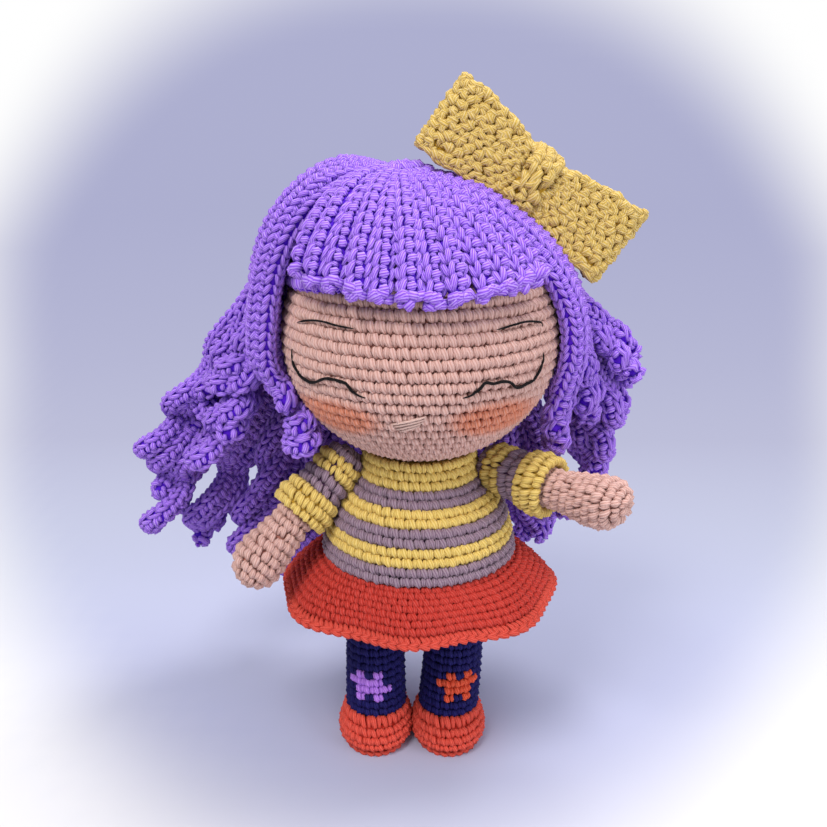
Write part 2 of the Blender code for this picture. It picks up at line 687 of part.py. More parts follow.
def build_bow(head):
    """The bow stands on the hair, on the doll's left of the crown, with its face to the front."""
    off = math.radians(BOW_OFF_CROWN_DEG)
    half_band = BOW_WAIST_HEIGHT / 2 + GAP + FABRIC
    hair = HAIR_OUTSIDE + hair_lift(BOW_OFF_CROWN_DEG, 90) + GAP
    rise = head_point(BOW_OFF_CROWN_DEG, 90, hair).length + BOW_LIFT + half_band
    bow = add_empty("bow", head, (rise * math.sin(off), 0, rise * math.cos(off)))
    bow.rotation_euler = (0, math.radians(BOW_ANGLE_DEG), 0)
    bow_loop("bow_left_loop", 1, bow)
    bow_loop("bow_right_loop", -1, bow)
    half_depth = BOW_WAIST_DEPTH / 2 + GAP
    rings = []
    for reach, grow in ((-1, FABRIC), (-1, 0), (1, 0), (1, FABRIC)):
        high = (half_band - FABRIC) * BAND_CORNER_SHARE + grow
        deep = half_depth * BAND_CORNER_SHARE + grow
        ring = []
        for i in range(LIMB_STEPS):
            turn = 2 * math.pi * (i + 0.5) / LIMB_STEPS
            across = reach * BOW_BAND_WIDTH / 2
            ring.append((across, deep * squared(math.sin(turn)), high * squared(math.cos(turn))))
        rings.append(ring)
    lofted("bow_band", rings, "yellow", bow, closed=True)


def squared(value):
    """Turns a round outline into one with flatter sides."""
    return math.copysign(abs(value) ** BAND_ROUND_SHARE, value)


def face_point(aside, above, proud):
    """A point on the face, from its place sideways and above the head's centre."""
    rise = HEAD_RISE if above > 0 else HEAD_DROP
    level = math.sqrt(max(0, 1 - (above / rise) ** 2 - (aside / HEAD_RADIUS) ** 2))
    point = Vector((aside, -HEAD_RADIUS * level, above))
    normal = Vector((aside, point.y, above * (HEAD_RADIUS / rise) ** 2)).normalized()
    return point + normal * proud


def build_face(head):
    threads = [("nose_stitches", NOSE_SHARES, "skin", NOSE_RADIUS)]
    for side in ("right", "left"):
        threads.append((side + "_eye_thread", EYE_SHARES[side], "thread", THREAD_RADIUS))
        threads.append((side + "_brow_thread", BROW_SHARES[side], "thread", THREAD_RADIUS))
    for name, shares, colour, radius in threads:
        points = [
            face_point(aside * HEAD_RADIUS, above * HEAD_RADIUS, radius + STITCH_PROUD)
            for aside, above in smooth_steps(shares, 2 * len(shares))
        ]
        thread(name, points, colour, head, radius)


clear_scene()
doll = bpy.data.collections.new("crocheted_doll")
bpy.context.scene.collection.children.link(doll)
root = add_empty("doll_axis", at=(AXIS_X, AXIS_Y, 0))
head_centre = BODY_TOP + GAP - head_point(neck_angle(0, NECK_OPENING), 90, 0).z
head = add_empty("head_axis", root, (0, 0, head_centre))
build_head(head)
build_body(root)
inset_foot = head_point(neck_angle(FABRIC + FILLING_EASE, NECK_OPENING), 90, -FABRIC - FILLING_EASE).z
build_neck_dowel(root, head_centre + inset_foot)
build_skirt(root)
build_leg("right", -1, root)
build_leg("left", 1, root)
build_arm("right", -1, RIGHT_ARM_FORWARD_DEG, RIGHT_ARM_DROP_DEG, root)
build_arm("left", 1, LEFT_ARM_FORWARD_DEG, LEFT_ARM_DROP_DEG, root)
build_wig(head)
build_bow(head)
build_face(head)
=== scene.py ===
"""The looks of a crocheted doll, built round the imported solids.

Every visible piece is worked loop by loop: a surface says where the cloth lies, and single crochet
stitches, each of two leaning loops of plied yarn, cover it in rounds or rows. The doll faces -Y,
and its right side is at -X. All sizes are in metres.
"""

import json
import math

import bpy
import numpy as np
from mathutils import Matrix, Vector


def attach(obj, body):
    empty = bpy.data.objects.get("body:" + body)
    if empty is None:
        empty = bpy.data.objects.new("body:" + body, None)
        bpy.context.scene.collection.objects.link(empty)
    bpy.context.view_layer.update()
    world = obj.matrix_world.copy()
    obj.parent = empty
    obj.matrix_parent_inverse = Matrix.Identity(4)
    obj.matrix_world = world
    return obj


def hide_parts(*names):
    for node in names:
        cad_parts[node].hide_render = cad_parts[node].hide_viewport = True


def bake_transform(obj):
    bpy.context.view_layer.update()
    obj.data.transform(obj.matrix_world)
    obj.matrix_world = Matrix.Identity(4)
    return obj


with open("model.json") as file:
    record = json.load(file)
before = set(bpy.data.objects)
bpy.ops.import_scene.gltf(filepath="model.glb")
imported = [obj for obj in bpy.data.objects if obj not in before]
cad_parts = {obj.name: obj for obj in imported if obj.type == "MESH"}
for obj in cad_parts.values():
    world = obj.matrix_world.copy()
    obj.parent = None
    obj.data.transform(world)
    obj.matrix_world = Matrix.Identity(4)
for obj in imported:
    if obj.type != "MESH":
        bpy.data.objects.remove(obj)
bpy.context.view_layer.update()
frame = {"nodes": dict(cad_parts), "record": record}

# The doll's upright axis and the middle of its head
AXIS_X = 0.0109
AXIS_Y = -0.0023
HEAD_Z = 0.13855
HEAD_RADIUS = 0.040
HEAD_RISE = 0.0380
HEAD_DROP = 0.0367

# Yarn: its usual radius, the length of one turn of its plies, and how many plies show round a loop
YARN = 0.00094
PLY_LENGTH = 0.0040
PLIES = 8
# Added to a loop's way at each place, so that it has one where its places coincide
WHOLE_WAY_SHARE = 1e-4
# Each cloth: how wide and how high its stitches are, the radius of their yarn, how far below them the
# plain cloth lies, and how many facets that has round it and along it. Some have a set number of rounds,
# which gives their height.
CLOTHS = {
    "head": (0.0033, 0.00325, 0.00100, 0.0005, 64, 60),
    "cap": (0.0036, 0.0034, YARN, 0.0, 48, 30),
    "knot": (0.0032, 0.0030, YARN, 0.0, 48, 10),
    "lip": (None, None, None, 0.0003, 56, 4),
    "sweater": (0.0031, None, 0.00096, 0.0006, 56, 3),
    "seat": (0.0032, 0.0030, YARN, 0.0004, 56, 14),
    "skirt": (0.0030, None, 0.00088, 0.0005, 120, 12),
    "skirt_inside": (0.0033, None, YARN, None, None, None),
    "legging": (0.0028, None, 0.00088, 0.0006, 32, 20),
    "shoe": (0.0031, None, 0.00080, 0.0005, 32, 16),
    "shoe_rim": (0.0036, None, 0.00090, None, None, None),
    "sleeve": (0.0031, None, 0.00088, 0.0006, 28, 16),
    "cuff": (0.0034, 0.0033, 0.00088, 0.0005, 28, 12),
    "hand": (0.0029, 0.0029, 0.00084, 0.0006, 28, 24),
    "band": (None, None, 0.00088, 0.0007, 40, 8),
}

# Camera: the photograph is taken as 827 x 827 pixels
PHOTO_WIDTH_PX = 827
FOCAL_PX = 943.3
SENSOR_MM = 36
CAMERA_PLACE = (AXIS_X - 0.00195, AXIS_Y - 0.275, 0.2015)
CAMERA_PITCH_DEG = 17.8
CAMERA_ROLL_DEG = 0.354

# Colours, linear
YARNS = {
    "skin": (0.585, 0.350, 0.292),
    "violet": (0.285, 0.074, 0.70),
    "yellow": (0.70, 0.50, 0.110),
    "mauve": (0.25, 0.163, 0.21),
    "red": (0.49, 0.024, 0.009),
    "hem": (0.60, 0.054, 0.026),
    "indigo": (0.004, 0.002, 0.100),
    "lilac": (0.50, 0.22, 0.80),
    "orange": (0.78, 0.085, 0.022),
    "shoe": (0.72, 0.070, 0.036),
    "bow": (0.585, 0.400, 0.060),
    "black": (0.002, 0.001, 0.002),
    "pale": (0.70, 0.49, 0.42),
}
# The same yarns in the shade between the loops
SHADES = {
    "skin": (0.38, 0.155, 0.118),
    "violet": (0.075, 0.006, 0.50),
    "yellow": (0.42, 0.25, 0.025),
    "mauve": (0.085, 0.030, 0.090),
    "red": (0.36, 0.008, 0.003),
    "hem": (0.42, 0.012, 0.006),
    "indigo": (0.001, 0.0005, 0.020),
    "lilac": (0.25, 0.06, 0.50),
    "orange": (0.45, 0.025, 0.006),
    "shoe": (0.46, 0.020, 0.008),
    "bow": (0.42, 0.235, 0.012),
    "black": (0.001, 0.001, 0.001),
    "pale": (0.50, 0.27, 0.21),
}
# How far the tops of the loops pale towards white as a painted highlight, and how much soft light their fibres
# catch as sheen
PAINTED_HIGHLIGHTS_AND_SHEENS = {
    "violet": (0.70, 0.10), "skin": (0.35, 0.15), "yellow": (0.25, 0.10), "bow": (0.50, 0.12),
    "mauve": (0.25, 0.15), "black": (0.0, 0.0), "indigo": (0.03, 0.0),
}
# The painted highlight and the sheen of the other yarns
PLAIN_HIGHLIGHT_AND_SHEEN = (0.12, 0.03)


def unit(vectors):
    return vectors / np.maximum(np.linalg.norm(vectors, axis=-1, keepdims=True), 1e-12)


def circle(facets):
    """That many angles, evenly round a full turn."""
    return np.linspace(0, 2 * math.pi, facets, endpoint=False)


def facing(place, u, v, step_u, step_v, low=-np.inf, high=np.inf):
    """The way out of a surface, square to its tangents, which are measured over steps in u and v."""
    around = place(u + step_u, v) - place(u - step_u, v)
    along = place(u, np.minimum(v + step_v, high)) - place(u, np.maximum(v - step_v, low))
    return unit(np.cross(around, along))


def turned_by(matrix, points, out, bent=0.0):
    """Points and their ways out, turned and moved by the matrix, with the points bent before the move."""
    turn = matrix[:3, :3]
    return points @ turn.T + bent + matrix[:3, 3], out @ turn.T


def add_object(name, data):
    made = bpy.data.objects.new(name, data)
    bpy.context.scene.collection.objects.link(made)
    return made


class Work:
    """Loops of yarn and plain cloth, gathered into one mesh with a material for each colour."""

    def __init__(self, name, seed):
        self.name = name
        self.chance = np.random.default_rng(seed)
        self.points = []
        self.count = 0
        self.faces = []
        self.colours = []

    def add(self, faces, uvs, colour):
        """Faces (m, corners), counted from the first of the newest points, and their uvs (m, corners, 2)."""
        if colour not in self.colours:
            self.colours.append(colour)
        self.faces.append((faces + self.count, uvs, self.colours.index(colour)))

    def tubes(self, line, out, girth, colour, sides=6):
        """Tapered loops of yarn: line (count, rings, 3), out the way that they face, girth (count, rings)."""
        count, rings = line.shape[:2]
        girth = np.broadcast_to(girth, (count, rings))
        # Past a cloth's edge a loop's places coincide, and there it keeps the way of the whole loop.
        whole = line[:, -1:] - line[:, :1]
        along = unit(np.gradient(line, axis=1) + whole * WHOLE_WAY_SHARE)
        side = unit(np.cross(along, out))
        up = np.cross(side, along)
        turn = 2 * np.pi * (np.arange(sides) + 0.5) / sides
        ring = np.cos(turn)[:, None] * side[:, :, None] + np.sin(turn)[:, None] * up[:, :, None]
        points = (line[:, :, None] + ring * girth[..., None, None]).reshape(-1, 3)
        index = np.arange(count * rings * sides).reshape(count, rings, sides)
        near, far = index[:, :-1], index[:, 1:]
        quads = np.stack([near, far, np.roll(far, -1, 2), np.roll(near, -1, 2)], -1).reshape(-1, 4)
        step = np.linalg.norm(np.diff(line, axis=1), axis=-1)
        reach = np.concatenate([np.zeros((count, 1)), np.cumsum(step, 1)], 1) / PLY_LENGTH
        reach = (reach + self.chance.random((count, 1)))[..., None]
        share = np.arange(sides + 1) / sides
        shape = (count, rings - 1, sides)
        edges = (reach[:, :-1], reach[:, 1:], share[:-1], share[1:])
        start, end, low, high = (np.broadcast_to(edge, shape) for edge in edges)
        corners = [np.stack(corner, -1) for corner in ((start, low), (end, low), (end, high), (start, high))]
        caps = np.concatenate([index[:, 0], index[:, -1, ::-1]])
        self.points.append(points)
        self.add(quads, np.stack(corners, 3).reshape(-1, 4, 2), colour)
        self.add(caps, np.zeros((len(caps), sides, 2)), colour)
        self.count += len(points)

    def cloth(self, surface, across, along, colour, lift=0.0, wrap=True, ends=(False, False)):
        """A plain sheet of the surface over the values across and along, or a tube where it wraps."""
        points, out = surface(*np.meshgrid(across, along))
        rows, columns = len(along), len(across)
        index = np.arange(rows * columns).reshape(rows, columns)
        if wrap:
            index = np.concatenate([index, index[:, :1]], 1)
        corners = [index[:-1, :-1], index[1:, :-1], index[1:, 1:], index[:-1, 1:]]
        quads = np.stack(corners, -1).reshape(-1, 4)
        self.points.append((points + out * lift).reshape(-1, 3))
        self.add(quads, np.zeros((len(quads), 4, 2)), colour)
        for row, closed in ((index[0, :-1], ends[0]), (index[-1, :-1][::-1], ends[1])):
            if closed:
                self.add(row[None], np.zeros((1, columns, 2)), colour)
        self.count += rows * columns

    def plain(self, surface, name, colour, start=0.0, end=None, ends=(False, False), backwards=False):
        """The plain cloth under the stitches of the cloth of that name, in painted shade: their colour as it
        looks in the shade between the loops.
        """
        sink, facets, rows = CLOTHS[name][3:]
        around = circle(facets)[::-1] if backwards else circle(facets)
        along = np.linspace(start, surface.length if end is None else end, rows)
        self.cloth(surface, around, along, "base_" + colour, -sink, ends=ends)

    def finish(self, body, replaces):
        """Makes the object, with smooth faces, and lets it ride on a body."""
        data = bpy.data.meshes.new(self.name)
        points = np.concatenate(self.points)
        corners = np.concatenate([faces.ravel() for faces, uvs, index in self.faces])
        sizes = np.concatenate([np.full(len(faces), faces.shape[1]) for faces, uvs, index in self.faces])
        slots = np.concatenate([np.full(len(faces), index) for faces, uvs, index in self.faces])
        places = np.concatenate([uvs.reshape(-1, 2) for faces, uvs, index in self.faces])
        starts = np.concatenate([[0], np.cumsum(sizes)[:-1]])
        data.vertices.add(len(points))
        data.vertices.foreach_set("co", points.astype(np.float32).ravel())
        data.loops.add(len(corners))
        data.loops.foreach_set("vertex_index", corners.astype(np.int32))
        data.polygons.add(len(sizes))
        data.polygons.foreach_set("loop_start", starts.astype(np.int32))
        data.polygons.foreach_set("material_index", slots.astype(np.int32))
        data.uv_layers.new(name="yarn").data.foreach_set("uv", places.astype(np.float32).ravel())
        data.update(calc_edges=True)
        data.shade_smooth()
        for colour in self.colours:
            data.materials.append(yarn_material(colour))
        made = add_object(self.name, data)
        if replaces:
            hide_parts(*replaces)
        if body:
            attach(made, body)
        return made


# Each leg of a stitch: where it starts and ends in its cell, across and down, as shares of the cell, and
# its girth, where it isn't 1.
LEG_SHARES = (((0.10, 0.46), (-0.30, -0.38), 1.12), ((0.44, 0.46), (0.34, -0.44), 0.86))
COARSE_SHARES = (
    ((-0.48, 0.38), (0.30, 0.06)), ((0.16, 0.48), (-0.14, -0.46)), ((-0.40, -0.34), (0.50, -0.10)),
    ((0.30, 0.40), (0.52, -0.36)),
)
LEG_STEP_SHARES = np.array([0.0, 0.15, 0.4, 0.66, 0.86, 1.0])
LEG_GIRTH_SHARES = np.array([0.64, 0.84, 1.02, 1.18, 1.16, 0.78])
LEG_RISE_SHARES = np.array([-1.10, -0.35, 0.30, 0.64, 0.40, -0.65])
# How many sides a loop of yarn has, and how far chance moves a stitch, as a share of its cell
LOOP_SIDES = 5
LOOSE = 0.035
# The fewest stitches in a round, and how far each round's stitches lie beside those above
FEWEST_STITCHES = 5
SLANT_SHARE = 0.42


def stitch_row(work, surface, u, v, wide, high, colour, yarn, legs=LEG_SHARES, loose=LOOSE):
    """Works one stitch in each cell: u and v are the cells' middles, wide and high their sizes there."""
    count = len(u)
    u, v, wide, high = (np.broadcast_to(values, (count,))[:, None] for values in (u, v, wide, high))
    for (start_across, start_down), (end_across, end_down), *thick in legs:
        shake = work.chance.normal(0, loose, (4, count, 1))
        across = start_across + (end_across - start_across) * LEG_STEP_SHARES + shake[0]
        down = start_down + (end_down - start_down) * LEG_STEP_SHARES + shake[1]
        points, out = surface(u + across * wide, v + down * high)
        points = points + out * (LEG_RISE_SHARES * yarn + shake[2] * yarn)[..., None]
        girth = LEG_GIRTH_SHARES * yarn * (thick[0] if thick else 1)
        work.tubes(points, out, girth * (1 + shake[3]), colour, LOOP_SIDES)


def smooth_line(points, count=240):
    """A smooth curve through the points, in even steps along its length: (reach, places)."""
    points = np.array(points, float)
    ends = np.concatenate([2 * points[:1] - points[1:2], points, 2 * points[-1:] - points[-2:-1]])
    place = np.linspace(0, len(points) - 1, count)
    i = np.minimum(place.astype(int), len(points) - 2)
    t = (place - i)[:, None]
    a, b, c, d = ends[i], ends[i + 1], ends[i + 2], ends[i + 3]
    line = b + t * ((c - a) / 2 + t * (a - 2.5 * b + 2 * c - d / 2 + t * (1.5 * (b - c) + (d - a) / 2)))
    return even_line(line)


def even_line(line):
    reach = np.concatenate([[0], np.cumsum(np.linalg.norm(np.diff(line, axis=0), axis=1))])
    return reach, line


def sample(reach, values, at):
    """The values, given along reach, read at the places asked for."""
    return np.stack([np.interp(at, reach, values[:, i]) for i in range(values.shape[1])], -1)


class Turned:
    """A surface turned about an upright axis: u is the angle, v the distance down the profile. The bend
    is how far its far end is moved aside."""

    def __init__(self, profile, matrix=None, smooth=True, bend=(0, 0, 0)):
        self.reach, self.profile = smooth_line(profile) if smooth else even_line(np.array(profile, float))
        self.length = self.reach[-1]
        self.matrix = np.array(matrix or Matrix.Translation((AXIS_X, AXIS_Y, 0)))
        self.bend = np.array(bend)

    def radius(self, v):
        return np.interp(v, self.reach, self.profile[:, 0])

    def __call__(self, u, v):
        radius, height = np.moveaxis(sample(self.reach, self.profile, v), -1, 0)
        # Past its ends the surface faces as it does there.
        inner, step = np.clip(v, 0, self.length), self.length / 400
        ahead = sample(self.reach, self.profile, inner + step) - sample(self.reach, self.profile, inner - step)
        aside, down = np.moveaxis(unit(ahead), -1, 0)
        cosine, sine = np.cos(u), np.sin(u)
        points = np.stack([cosine * radius, sine * radius, height + 0 * u], -1)
        out = unit(np.stack([cosine * -down, sine * -down, aside + 0 * u], -1))
        bent = np.clip(v / self.length, 0, 1)[..., None] ** 2 * self.bend
        return turned_by(self.matrix, points, out, bent)


def rounds(work, surface, edges, colours, name, slant=SLANT_SHARE, **more):
    """Works rounds of stitches of the cloth of that name between the edges. Colours is one colour, a list
    with one for each round, or a function that gives the colour of each stitch of a round."""
    wide, high, yarn = CLOTHS[name][:3]
    for row, (top, foot) in enumerate(zip(edges, edges[1:])):
        middle = (top + foot) / 2
        count = max(FEWEST_STITCHES, round(2 * math.pi * float(surface.radius(middle)) / wide))
        u = 2 * math.pi * (np.arange(count) + slant * row) / count - math.pi / 2
        step = 2 * math.pi / count
        if callable(colours):
            chosen = colours(row, u, step)
        else:
            chosen = [colours if isinstance(colours, str) else colours[row]] * count
        for colour in sorted(set(chosen)):
            part = u[np.array(chosen) == colour]
            stitch_row(work, surface, part, middle, step, foot - top, colour, yarn, **more)


def even_edges(start, end, name):
    """The edges of as many rounds as fit between start and end in the cloth of that name."""
    return np.linspace(start, end, max(1, round((end - start) / CLOTHS[name][1])) + 1)


# Materials

def feed(tree, socket, value):
    """Links the socket to another, or sets its value."""
    if isinstance(value, bpy.types.NodeSocket):
        tree.links.new(value, socket)
    else:
        socket.default_value = value


def add_node(tree, kind, **sockets):
    made = tree.nodes.new(kind)
    for name, value in sockets.items():
        feed(tree, made.inputs[name.replace("_", " ")], value)
    return made


def math_node(tree, operation, *values):
    made = tree.nodes.new("ShaderNodeMath")
    made.operation = operation
    for socket, value in zip(made.inputs, values):
        feed(tree, socket, value)
    return made.outputs[0]


def mix_colour(tree, factor, first, second, blend="MIX"):
    made = tree.nodes.new("ShaderNodeMix")
    made.data_type = "RGBA"
    made.blend_type = blend
    for socket, value in zip((made.inputs[0], made.inputs[6], made.inputs[7]), (factor, first, second)):
        feed(tree, socket, value)
    return made.outputs[2]


def new_material(name, roughness):
    made = bpy.data.materials.new(name)
    made.use_nodes = True
    tree = made.node_tree
    tree.nodes.clear()
    shader = add_node(tree, "ShaderNodeBsdfPrincipled", Roughness=roughness)
    add_node(tree, "ShaderNodeOutputMaterial", Surface=shader.outputs[0])
    return made, tree, shader


def noise(tree, place, scale, detail):
    return add_node(tree, "ShaderNodeTexNoise", Vector=place, Scale=scale, Detail=detail).outputs[0]


def bump(tree, shader, height, strength, distance):
    made = add_node(tree, "ShaderNodeBump", Height=height, Strength=strength, Distance=distance)
    tree.links.new(made.outputs[0], shader.inputs["Normal"])


BLUSH_COLOUR = (0.57, 0.165, 0.072, 1)
BLUSH_PLACES = ((-0.0240, -0.0178), (0.0205, -0.0172))
BLUSH_SIZE = (0.0135, 0.0062)
# Where the blush ends and where it is full, in squares of its size
BLUSH_EDGES = (1.3, 0.25)
YARN_ROUGHNESS = 0.72
YARN_SPECULAR = 0.2
SHEEN_ROUGHNESS = 0.45
# The scale and detail of the slow change over the cloth, of its finest fibres, and of those on a loop
SLOW_NOISE = (160.0, 2.0)
FINE_NOISE = (2600.0, 3.0)
FIBRE_NOISE = (1.6, 2.0)
FIBRE_STRETCH = 6.0
RIDGE_POWER = 0.7
# How much the plies, the slow change and the fibres add to the yarn's tone, which starts at TONE_START. A low
# tone takes the painted shade colour, so the plies paint shade in the grooves between them; the slow change
# and the fibres vary the tone at random.
TONE_START = 0.12
TONE_SHARES = (0.55, 0.25, 0.35)
# How strongly the painted highlight pales the tops of the plies
HIGHLIGHT_GAIN = 2.2
# The strength and depth of the bump in the shade between the loops, and on them
BASE_BUMP = (0.6, 0.0003)
LOOP_BUMP = (0.6, 0.00022)
FIBRE_HEIGHT = 0.35
FINE_HEIGHT = 0.15


def blush(tree, place, colour):
    """Soft orange chalk on both cheeks."""
    parts = add_node(tree, "ShaderNodeSeparateXYZ", Vector=place)
    total = None
    for aside, above in BLUSH_PLACES:
        squares = []
        for socket, middle, size in ((0, AXIS_X + aside, BLUSH_SIZE[0]), (2, HEAD_Z + above, BLUSH_SIZE[1])):
            away = math_node(tree, "SUBTRACT", parts.outputs[socket], middle)
            away = math_node(tree, "DIVIDE", away, size)
            squares.append(math_node(tree, "MULTIPLY", away, away))
        soft = tree.nodes.new("ShaderNodeMapRange")
        soft.interpolation_type = "SMOOTHSTEP"
        for socket, value in zip(soft.inputs, (math_node(tree, "ADD", *squares), *BLUSH_EDGES)):
            feed(tree, socket, value)
        total = soft.outputs[0] if total is None else math_node(tree, "ADD", total, soft.outputs[0])
    front = math_node(tree, "LESS_THAN", parts.outputs[1], AXIS_Y)
    return mix_colour(tree, math_node(tree, "MULTIPLY", total, front), colour, BLUSH_COLOUR)


def yarn_material(name):
    """Matte plied yarn: plies along each loop, fine fibres, and a slight change from loop to loop, with
    painted shade in the grooves between the plies and a painted highlight on their tops. Names for the plain
    cloth carry a
    prefix: such a material is the same yarn as painted shade, for the cloth between the loops."""
    found = bpy.data.materials.get(name)
    if found:
        return found
    shade_sheet = name.startswith("base_")
    plain_name = name.removeprefix("base_")
    pale, sheen = PAINTED_HIGHLIGHTS_AND_SHEENS.get(plain_name, PLAIN_HIGHLIGHT_AND_SHEEN)
    colour = np.array(SHADES[plain_name] if shade_sheet else YARNS[plain_name])
    made, tree, shader = new_material(name, YARN_ROUGHNESS)
    shader.inputs["Specular IOR Level"].default_value = YARN_SPECULAR
    shader.inputs["Sheen Weight"].default_value = 0.0 if shade_sheet else sheen
    shader.inputs["Sheen Roughness"].default_value = SHEEN_ROUGHNESS
    shader.inputs["Sheen Tint"].default_value = (*np.minimum(1, colour * 0.6 + 0.4), 1)
    place = tree.nodes.new("ShaderNodeTexCoord")
    slow = noise(tree, place.outputs["Object"], *SLOW_NOISE)
    fine = noise(tree, place.outputs["Object"], *FINE_NOISE)
    # The plain cloth between the loops is painted shade: the yarn's shade colour, varied at random.
    if shade_sheet:
        dark, light = (*(colour * 0.85), 1), (*np.minimum(1, colour * 1.15), 1)
        tree.links.new(mix_colour(tree, slow, dark, light), shader.inputs["Base Color"])
        bump(tree, shader, fine, *BASE_BUMP)
        return made
    parts = add_node(tree, "ShaderNodeSeparateXYZ", Vector=place.outputs["UV"])
    slanted = math_node(tree, "MULTIPLY_ADD", parts.outputs[1], float(PLIES), parts.outputs[0])
    wave = math_node(tree, "SINE", math_node(tree, "MULTIPLY", slanted, math.pi))
    ridge = math_node(tree, "POWER", math_node(tree, "ABSOLUTE", wave), RIDGE_POWER)
    stretched = math_node(tree, "MULTIPLY", slanted, FIBRE_STRETCH)
    fibre_place = add_node(tree, "ShaderNodeCombineXYZ", X=stretched, Y=parts.outputs[0])
    fibre = noise(tree, fibre_place.outputs[0], *FIBRE_NOISE)
    tone = TONE_START
    for part, share in zip((ridge, slow, fibre), TONE_SHARES):
        tone = math_node(tree, "MULTIPLY_ADD", part, share, tone)
    tone = math_node(tree, "MINIMUM", tone, 1.0)
    # deep is painted shade: the grooves between the plies take it where the tone is low.
    plain, deep = (*colour, 1), (*SHADES[name], 1)
    if name == "skin":
        plain = blush(tree, place.outputs["Object"], plain)
        deep = blush(tree, place.outputs["Object"], deep)
    lit = mix_colour(tree, tone, deep, plain)
    # A painted highlight: where the plies' ridges and the fibres meet, the colour pales towards white.
    top = math_node(tree, "POWER", math_node(tree, "MULTIPLY", ridge, fibre), 2.0)
    top = math_node(tree, "MULTIPLY", top, pale * HIGHLIGHT_GAIN)
    highlight_colour = (*np.minimum(1, colour * 0.5 + 0.5), 1)
    tree.links.new(mix_colour(tree, top, lit, highlight_colour), shader.inputs["Base Color"])
    height = math_node(tree, "MULTIPLY_ADD", fibre, FIBRE_HEIGHT, ridge)
    bump(tree, shader, math_node(tree, "MULTIPLY_ADD", fine, FINE_HEIGHT, height), *LOOP_BUMP)
    return made


# Head

# How far the strands lie from the head, how far the crown leans, and where the cap and the head end
STRAND_INSIDE = 0.0032
CROWN_LEAN_DEG = 7
CAP_EDGE_DEG = 60
NECK_DEG = 166
OUTLINE_STEPS = 60


def head_outline(proud, end_deg):
    """(radius, height) points of the head's own curve, from the crown down."""
    points = []
    for step in range(OUTLINE_STEPS + 1):
        turn = math.radians(end_deg * step / OUTLINE_STEPS)
        rise = (HEAD_RISE if turn < math.pi / 2 else HEAD_DROP) + proud
        points.append(((HEAD_RADIUS + proud) * math.sin(turn), rise * math.cos(turn)))
    return points


def head_matrix(lean_deg=0.0):
    lean = Matrix.Rotation(-math.radians(lean_deg), 4, "Y")
    return Matrix.Translation((AXIS_X, AXIS_Y, HEAD_Z)) @ lean


# How far the head's stitches lie below the cover's outside, and where their first round starts
HEAD_SINK = 0.0004
HEAD_EDGE = 0.0004
FIRST_ROUND_DEG = 48


def make_head():
    work = Work("head_work", 2)
    surface = Turned(head_outline(-HEAD_SINK, NECK_DEG), head_matrix(), smooth=False)
    work.plain(surface, "head", "skin", HEAD_EDGE, ends=(True, True))
    start = math.radians(FIRST_ROUND_DEG) * HEAD_RADIUS
    rounds(work, surface, even_edges(start, surface.length - HEAD_EDGE, "head"), "skin", "head")
    made = work.finish("head", ["head_cover"])


# Face

# The radius of each thread, and how many stitches an eye, a brow or a line of the nose has
THREADS = {"eye": (0.00044, 9), "brow": (0.00032, 4), "nose": (0.00038, 1)}
THREAD_PROUD = 0.0013
THREAD_PLACES = 9
THREAD_OVERLAP = 0.12
# Places on the face: sideways and upwards from the head's middle, in shares of its radius
EYE_SHARES = {
    "right": (
        (-0.870, -0.006), (-0.866, -0.092), (-0.837, -0.148), (-0.783, -0.188), (-0.713, -0.187),
        (-0.644, -0.144), (-0.607, -0.128), (-0.537, -0.128), (-0.482, -0.140), (-0.436, -0.191),
        (-0.389, -0.213), (-0.356, -0.224),
    ),
    "left": (
        (0.811, 0.005), (0.815, -0.053), (0.795, -0.105), (0.760, -0.161), (0.692, -0.186), (0.626, -0.191),
        (0.579, -0.143), (0.522, -0.125), (0.467, -0.131), (0.412, -0.116), (0.373, -0.154), (0.321, -0.193),
        (0.268, -0.210),
    ),
}
BROW_SHARES = {
    "right": ((-0.826, 0.185), (-0.732, 0.222), (-0.637, 0.235), (-0.532, 0.226), (-0.424, 0.221)),
    "left": ((0.806, 0.175), (0.782, 0.207), (0.689, 0.233), (0.595, 0.230), (0.477, 0.214)),
}
NOSE_SHARES = (
    ((-0.190, -0.410), (0.035, -0.338)), ((-0.180, -0.430), (0.030, -0.358)),
    ((-0.165, -0.452), (0.022, -0.380)), ((-0.140, -0.468), (0.000, -0.405)),
)


def face_place(shares):
    """Points on the face, and the ways out at them."""
    aside, above = np.moveaxis(shares, -1, 0) * HEAD_RADIUS
    rise = np.where(above > 0, HEAD_RISE, HEAD_DROP)
    level = np.sqrt(np.maximum(0.0, 1 - (above / rise) ** 2 - (aside / HEAD_RADIUS) ** 2))
    points = np.stack([aside, -HEAD_RADIUS * level, above], -1)
    out = unit(points / np.stack([0 * rise + HEAD_RADIUS, 0 * rise + HEAD_RADIUS, rise], -1) ** 2)
    return points + (AXIS_X, AXIS_Y, HEAD_Z), out


def laid_thread(work, shares, kind, colour):
    """Back stitches along a line on the face: each piece dips into the cloth at its ends."""
    girth, pieces = THREADS[kind]
    reach, line = smooth_line(shares)
    reach = reach / reach[-1]
    hump = np.sin(np.linspace(THREAD_OVERLAP, math.pi - THREAD_OVERLAP, THREAD_PLACES)) ** 0.5
    for piece in range(pieces):
        at = (piece + np.linspace(-THREAD_OVERLAP, 1 + THREAD_OVERLAP, THREAD_PLACES)) / pieces
        points, out = face_place(sample(reach, line, np.clip(at, 0, 1)))
        points = points + out * (THREAD_PROUD * (0.7 + 0.3 * hump))[:, None]
        taper = np.minimum(1, 0.35 + 4.5 * np.minimum(at, 1 - at).clip(0))
        work.tubes(points[None], out[None], girth * (0.72 + 0.28 * hump) * taper, colour)


